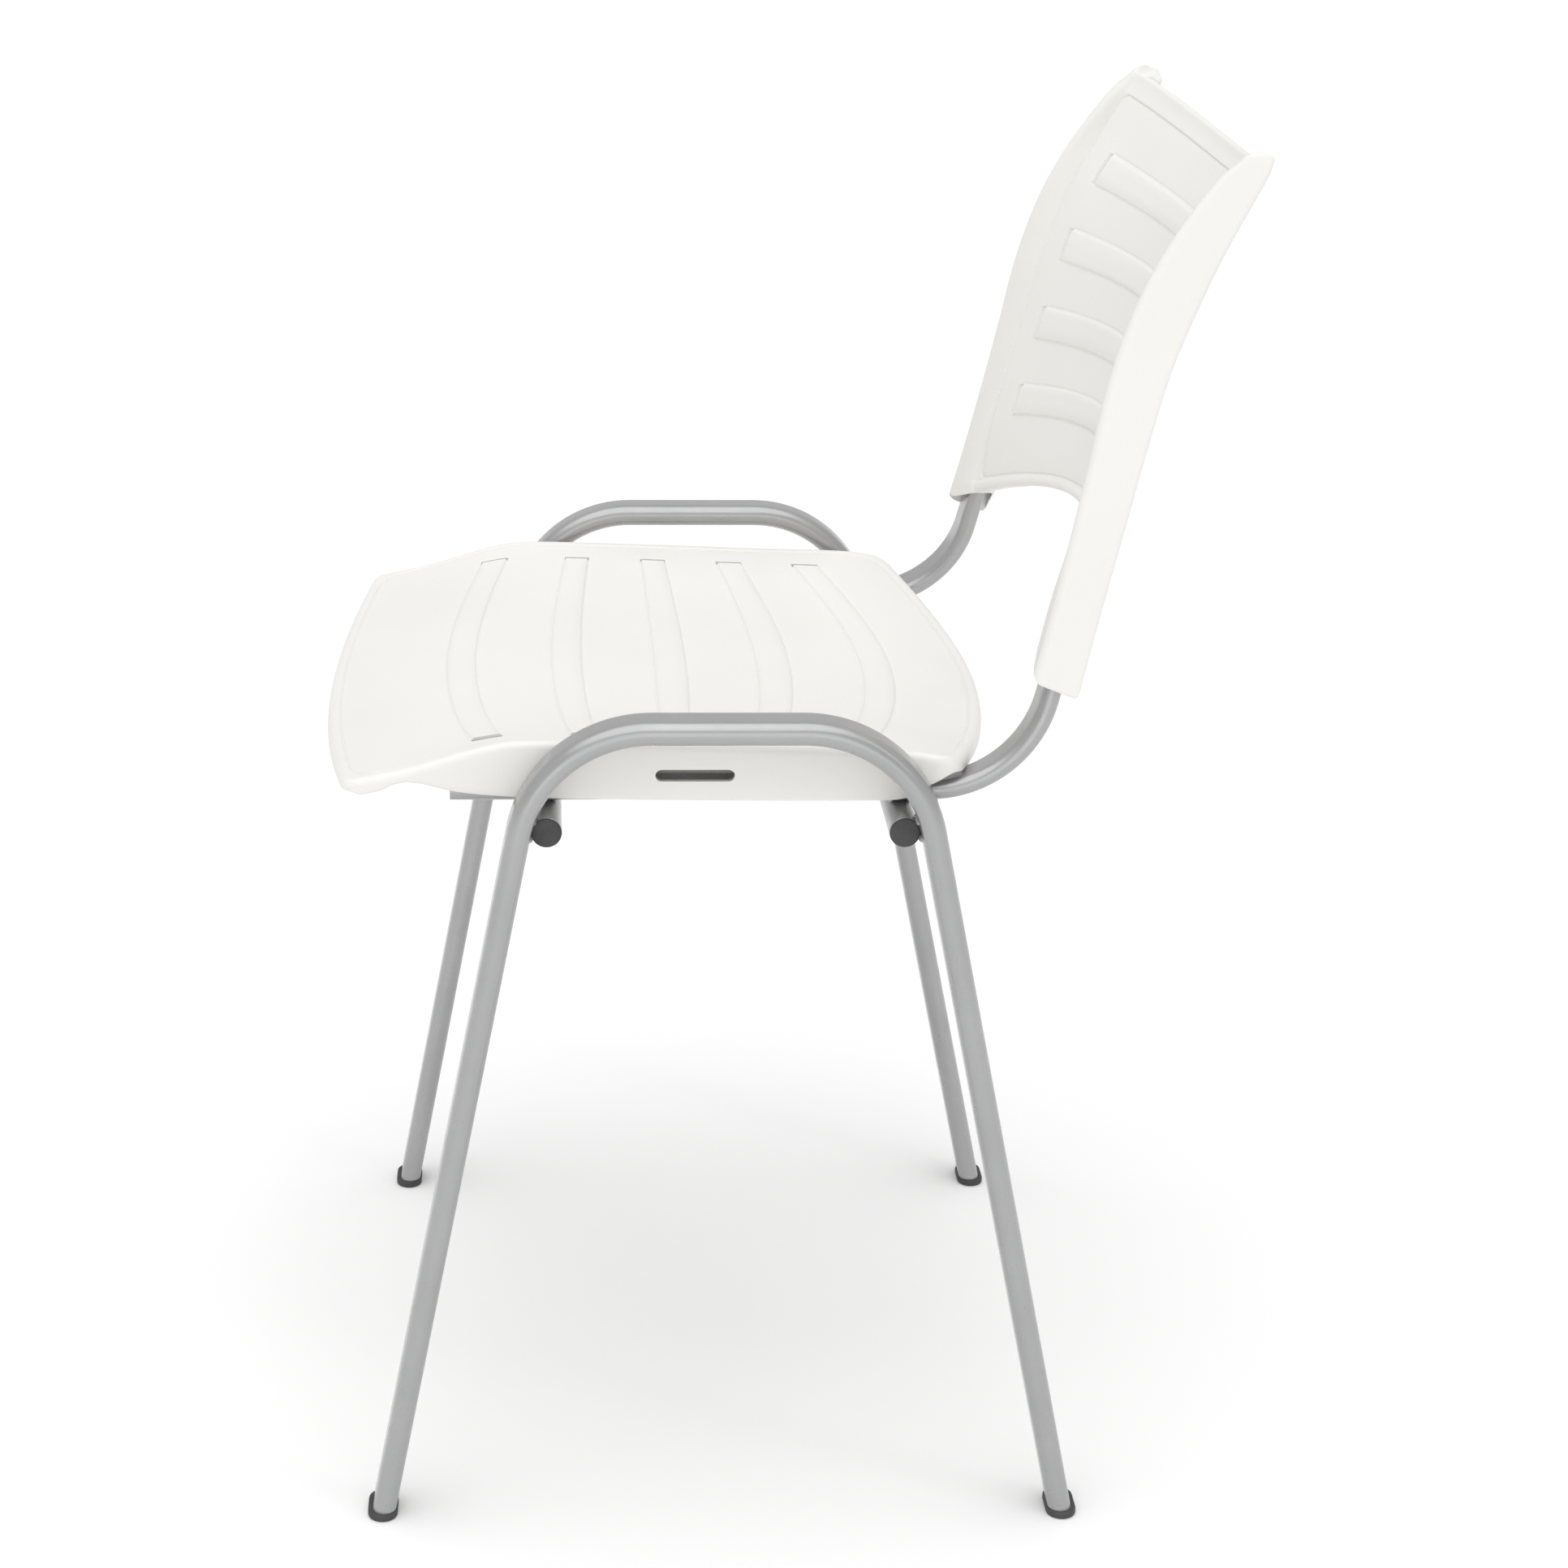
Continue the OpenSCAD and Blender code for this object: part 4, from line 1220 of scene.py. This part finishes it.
def back_rings(rows):
    """One closed ring a line, and four more that round the top off."""
    rings = [mirrored_loop([p for p, _ in BackLine(zc).points]) for zc in rows]
    top = BackLine(BACK_TOP - TOP_ROUND).points
    for angle in (25, 50, 70, 85):
        a = radians(angle)
        half = inset_half(top, 0.92 * (1 - cos(a)) ** 0.9, TOP_ROUND * sin(a))
        rings.append(mirrored_loop(half))
    return rings


def back_mesh():
    """A skin over the rings, with slits, closed ends and pockets."""
    rows, cols = back_rows(), back_columns()
    rings = back_rings(rows)
    nc, n = len(cols), len(rings[0])
    n_half = n // 2 + 1
    verts = [p for ring in rings for p in ring]

    def number(m, right):
        """Ring place of point m of the right half, or of its mirror image."""
        return m if right or m in (0, n_half - 1) else n - m

    def behind(m):
        return n_half - 1 - m

    open_cells = slit_cells(cols, rows, BACK_SLIT, BACK_BANDS)
    skipped = set()
    for k, j in open_cells:
        for right in (True, False):
            for m in (k, behind(k + 1)):
                skipped.add((frozenset((number(m, right), number(m + 1, right))), j))
    faces = []
    for j in range(len(rings) - 1):
        for i in range(n):
            k = (i + 1) % n
            if (frozenset((i, k)), j) not in skipped:
                faces.append([j * n + i, j * n + k, (j + 1) * n + k, (j + 1) * n + i])
    for (ka, ja), (kb, jb) in slit_sides(open_cells):
        for right in (True, False):
            quad = [number(ka, right) + ja * n, number(kb, right) + jb * n]
            quad += [number(behind(kb), right) + jb * n, number(behind(ka), right) + ja * n]
            faces.append(quad)
    top_ring = (len(rings) - 1) * n
    for base in (0, top_ring):
        for k in range(nc - 1):
            for right in (True, False):
                corners = (k, k + 1, behind(k + 1), behind(k))
                faces.append([base + number(m, right) for m in corners])
    border = nc + len(BORDER_STEPS) + 1
    inner_wall = behind(nc)
    for right in (True, False):
        faces.append([top_ring + number(m, right) for m in range(nc - 1, inner_wall + 2)])
        flange = (*range(nc - 1, border + 1), inner_wall, inner_wall + 1)
        faces.append([number(m, right) for m in flange])
        sleeve = [number(m, right) for m in range(border, inner_wall + 1)]
        add_pocket(verts, faces, sleeve, right)
    return verts, faces


def add_pocket(verts, faces, rim, right):
    """Closes a sleeve's lower end with a rim and the upright's pocket."""
    side, turn = (1, 1) if right else (-1, -1)
    points = [Vector(verts[i]) for i in rim]
    normals = plan_normals(points[::turn])[::turn]
    up = Vector((-side * sin(UPRIGHT_LEAN), sin(UPRIGHT_TILT), cos(UPRIGHT_TILT)))
    chain = [rim]
    for share, rise in ((0.25, -0.5), (0.75, -0.5), (1.0, 0.4), (1.0, POCKET_DEPTH / 2), (1.0, POCKET_DEPTH)):
        chain.append(list(range(len(verts), len(verts) + len(rim))))
        for p, normal in zip(points, normals):
            inward = Vector((normal[0], normal[1], 0)) * (SLEEVE_WALL * share)
            verts.append(list(p - inward + up * rise))
    faces += bridge(chain)
    faces.append(chain[-1])


def back():
    """Panel, rails and sleeves in one piece."""
    verts, faces = back_mesh()
    obj = new_object("back", [point(*v) for v in verts], faces)
    show(obj, ["back_shell"], SHELL)


# ---- stage, light and camera

FLOOR_HALF = 12.0
AIM = (0.0, 0.0, 0.5)


def stage_floor():
    """A large, plain, pale floor."""
    n = Nodes("floor_pale")
    n.set("Base Color", (0.93, 0.93, 0.93, 1.0))
    n.set("Roughness", 0.9)
    n.set("Specular IOR Level", 0.1)
    s = FLOOR_HALF
    mesh = bpy.data.meshes.new("floor")
    mesh.from_pydata([(-s, -s, 0), (s, -s, 0), (s, s, 0), (-s, s, 0)], [], [[0, 1, 2, 3]])
    mesh.materials.append(n.material)
    place_in_scene("floor", mesh)


def area_light(name, place, target, size, watts):
    """A rectangular light at place that faces target, in metres."""
    light = bpy.data.lights.new(name, "AREA")
    light.shape = "RECTANGLE"
    light.size, light.size_y = size
    light.energy = watts
    obj = place_in_scene(name, light)
    obj.location = place
    obj.rotation_euler = (Vector(target) - Vector(place)).to_track_quat("-Z", "Y").to_euler()


def lights():
    """A broad bank overhead, a softbox and two strips."""
    world = bpy.data.worlds.new("studio")
    bpy.context.scene.world = world
    world.use_nodes = True
    background = world.node_tree.nodes["Background"]
    background.inputs["Color"].default_value = (1.0, 1.0, 1.0, 1.0)
    background.inputs["Strength"].default_value = 0.685
    bank = bpy.data.lights.new("overhead_bank", "SUN")
    bank.energy = 1.44
    bank.angle = radians(75)
    obj = place_in_scene("overhead_bank", bank)
    obj.rotation_euler = Vector((0.20, -0.10, 0.97)).to_track_quat("Z", "Y").to_euler()
    area_light("side_softbox", (3.4, -0.3, 0.9), AIM, (3.0, 2.0), 16)
    area_light("overhead_strip", (0.9, 0.0, 2.3), (0.1, 0, 0.5), (0.10, 2.4), 0.8)
    area_light("rear_strip", (1.4, 1.9, 2.0), AIM, (0.35, 1.8), 3)


CAMERA_AT = (1883.34, -113.94, 1094.58)
PITCH = radians(20.98)
YAW = radians(-0.99)
ROLL_ANGLE = radians(0.31)


def camera():
    """The view from the sitter's left, looking down."""
    forward = Vector((-cos(PITCH) * cos(YAW), -cos(PITCH) * sin(YAW), -sin(PITCH)))
    right = forward.cross(Vector((0, 0, 1))).normalized()
    up = right.cross(forward)
    tilted_right = right * cos(ROLL_ANGLE) + up * sin(ROLL_ANGLE)
    tilted_up = up * cos(ROLL_ANGLE) - right * sin(ROLL_ANGLE)
    data = bpy.data.cameras.new("camera")
    data.sensor_width = 36.0
    data.lens = 72.61
    data.shift_x = 0.1255
    data.shift_y = 0.0203
    data.clip_end = 60.0
    obj = place_in_scene("camera", data)
    turn = Matrix((tilted_right, tilted_up, -forward)).transposed()
    obj.matrix_world = Matrix.Translation(point(*CAMERA_AT)) @ turn.to_4x4()
    bpy.context.scene.camera = obj


def carried_over():
    """CAD nodes whose shape stays get their finished material."""
    for name in ("seat_screws", "seat_washers", "back_screws"):
        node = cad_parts[name]
        node.data.materials.clear()
        node.data.materials.append(STEEL)


leg_frames()
uprights()
cross_tubes()
plugs()
feet()
welds()
seat()
back()
carried_over()
stage_floor()
lights()
camera()
bpy.context.scene.view_settings.view_transform = "Standard"
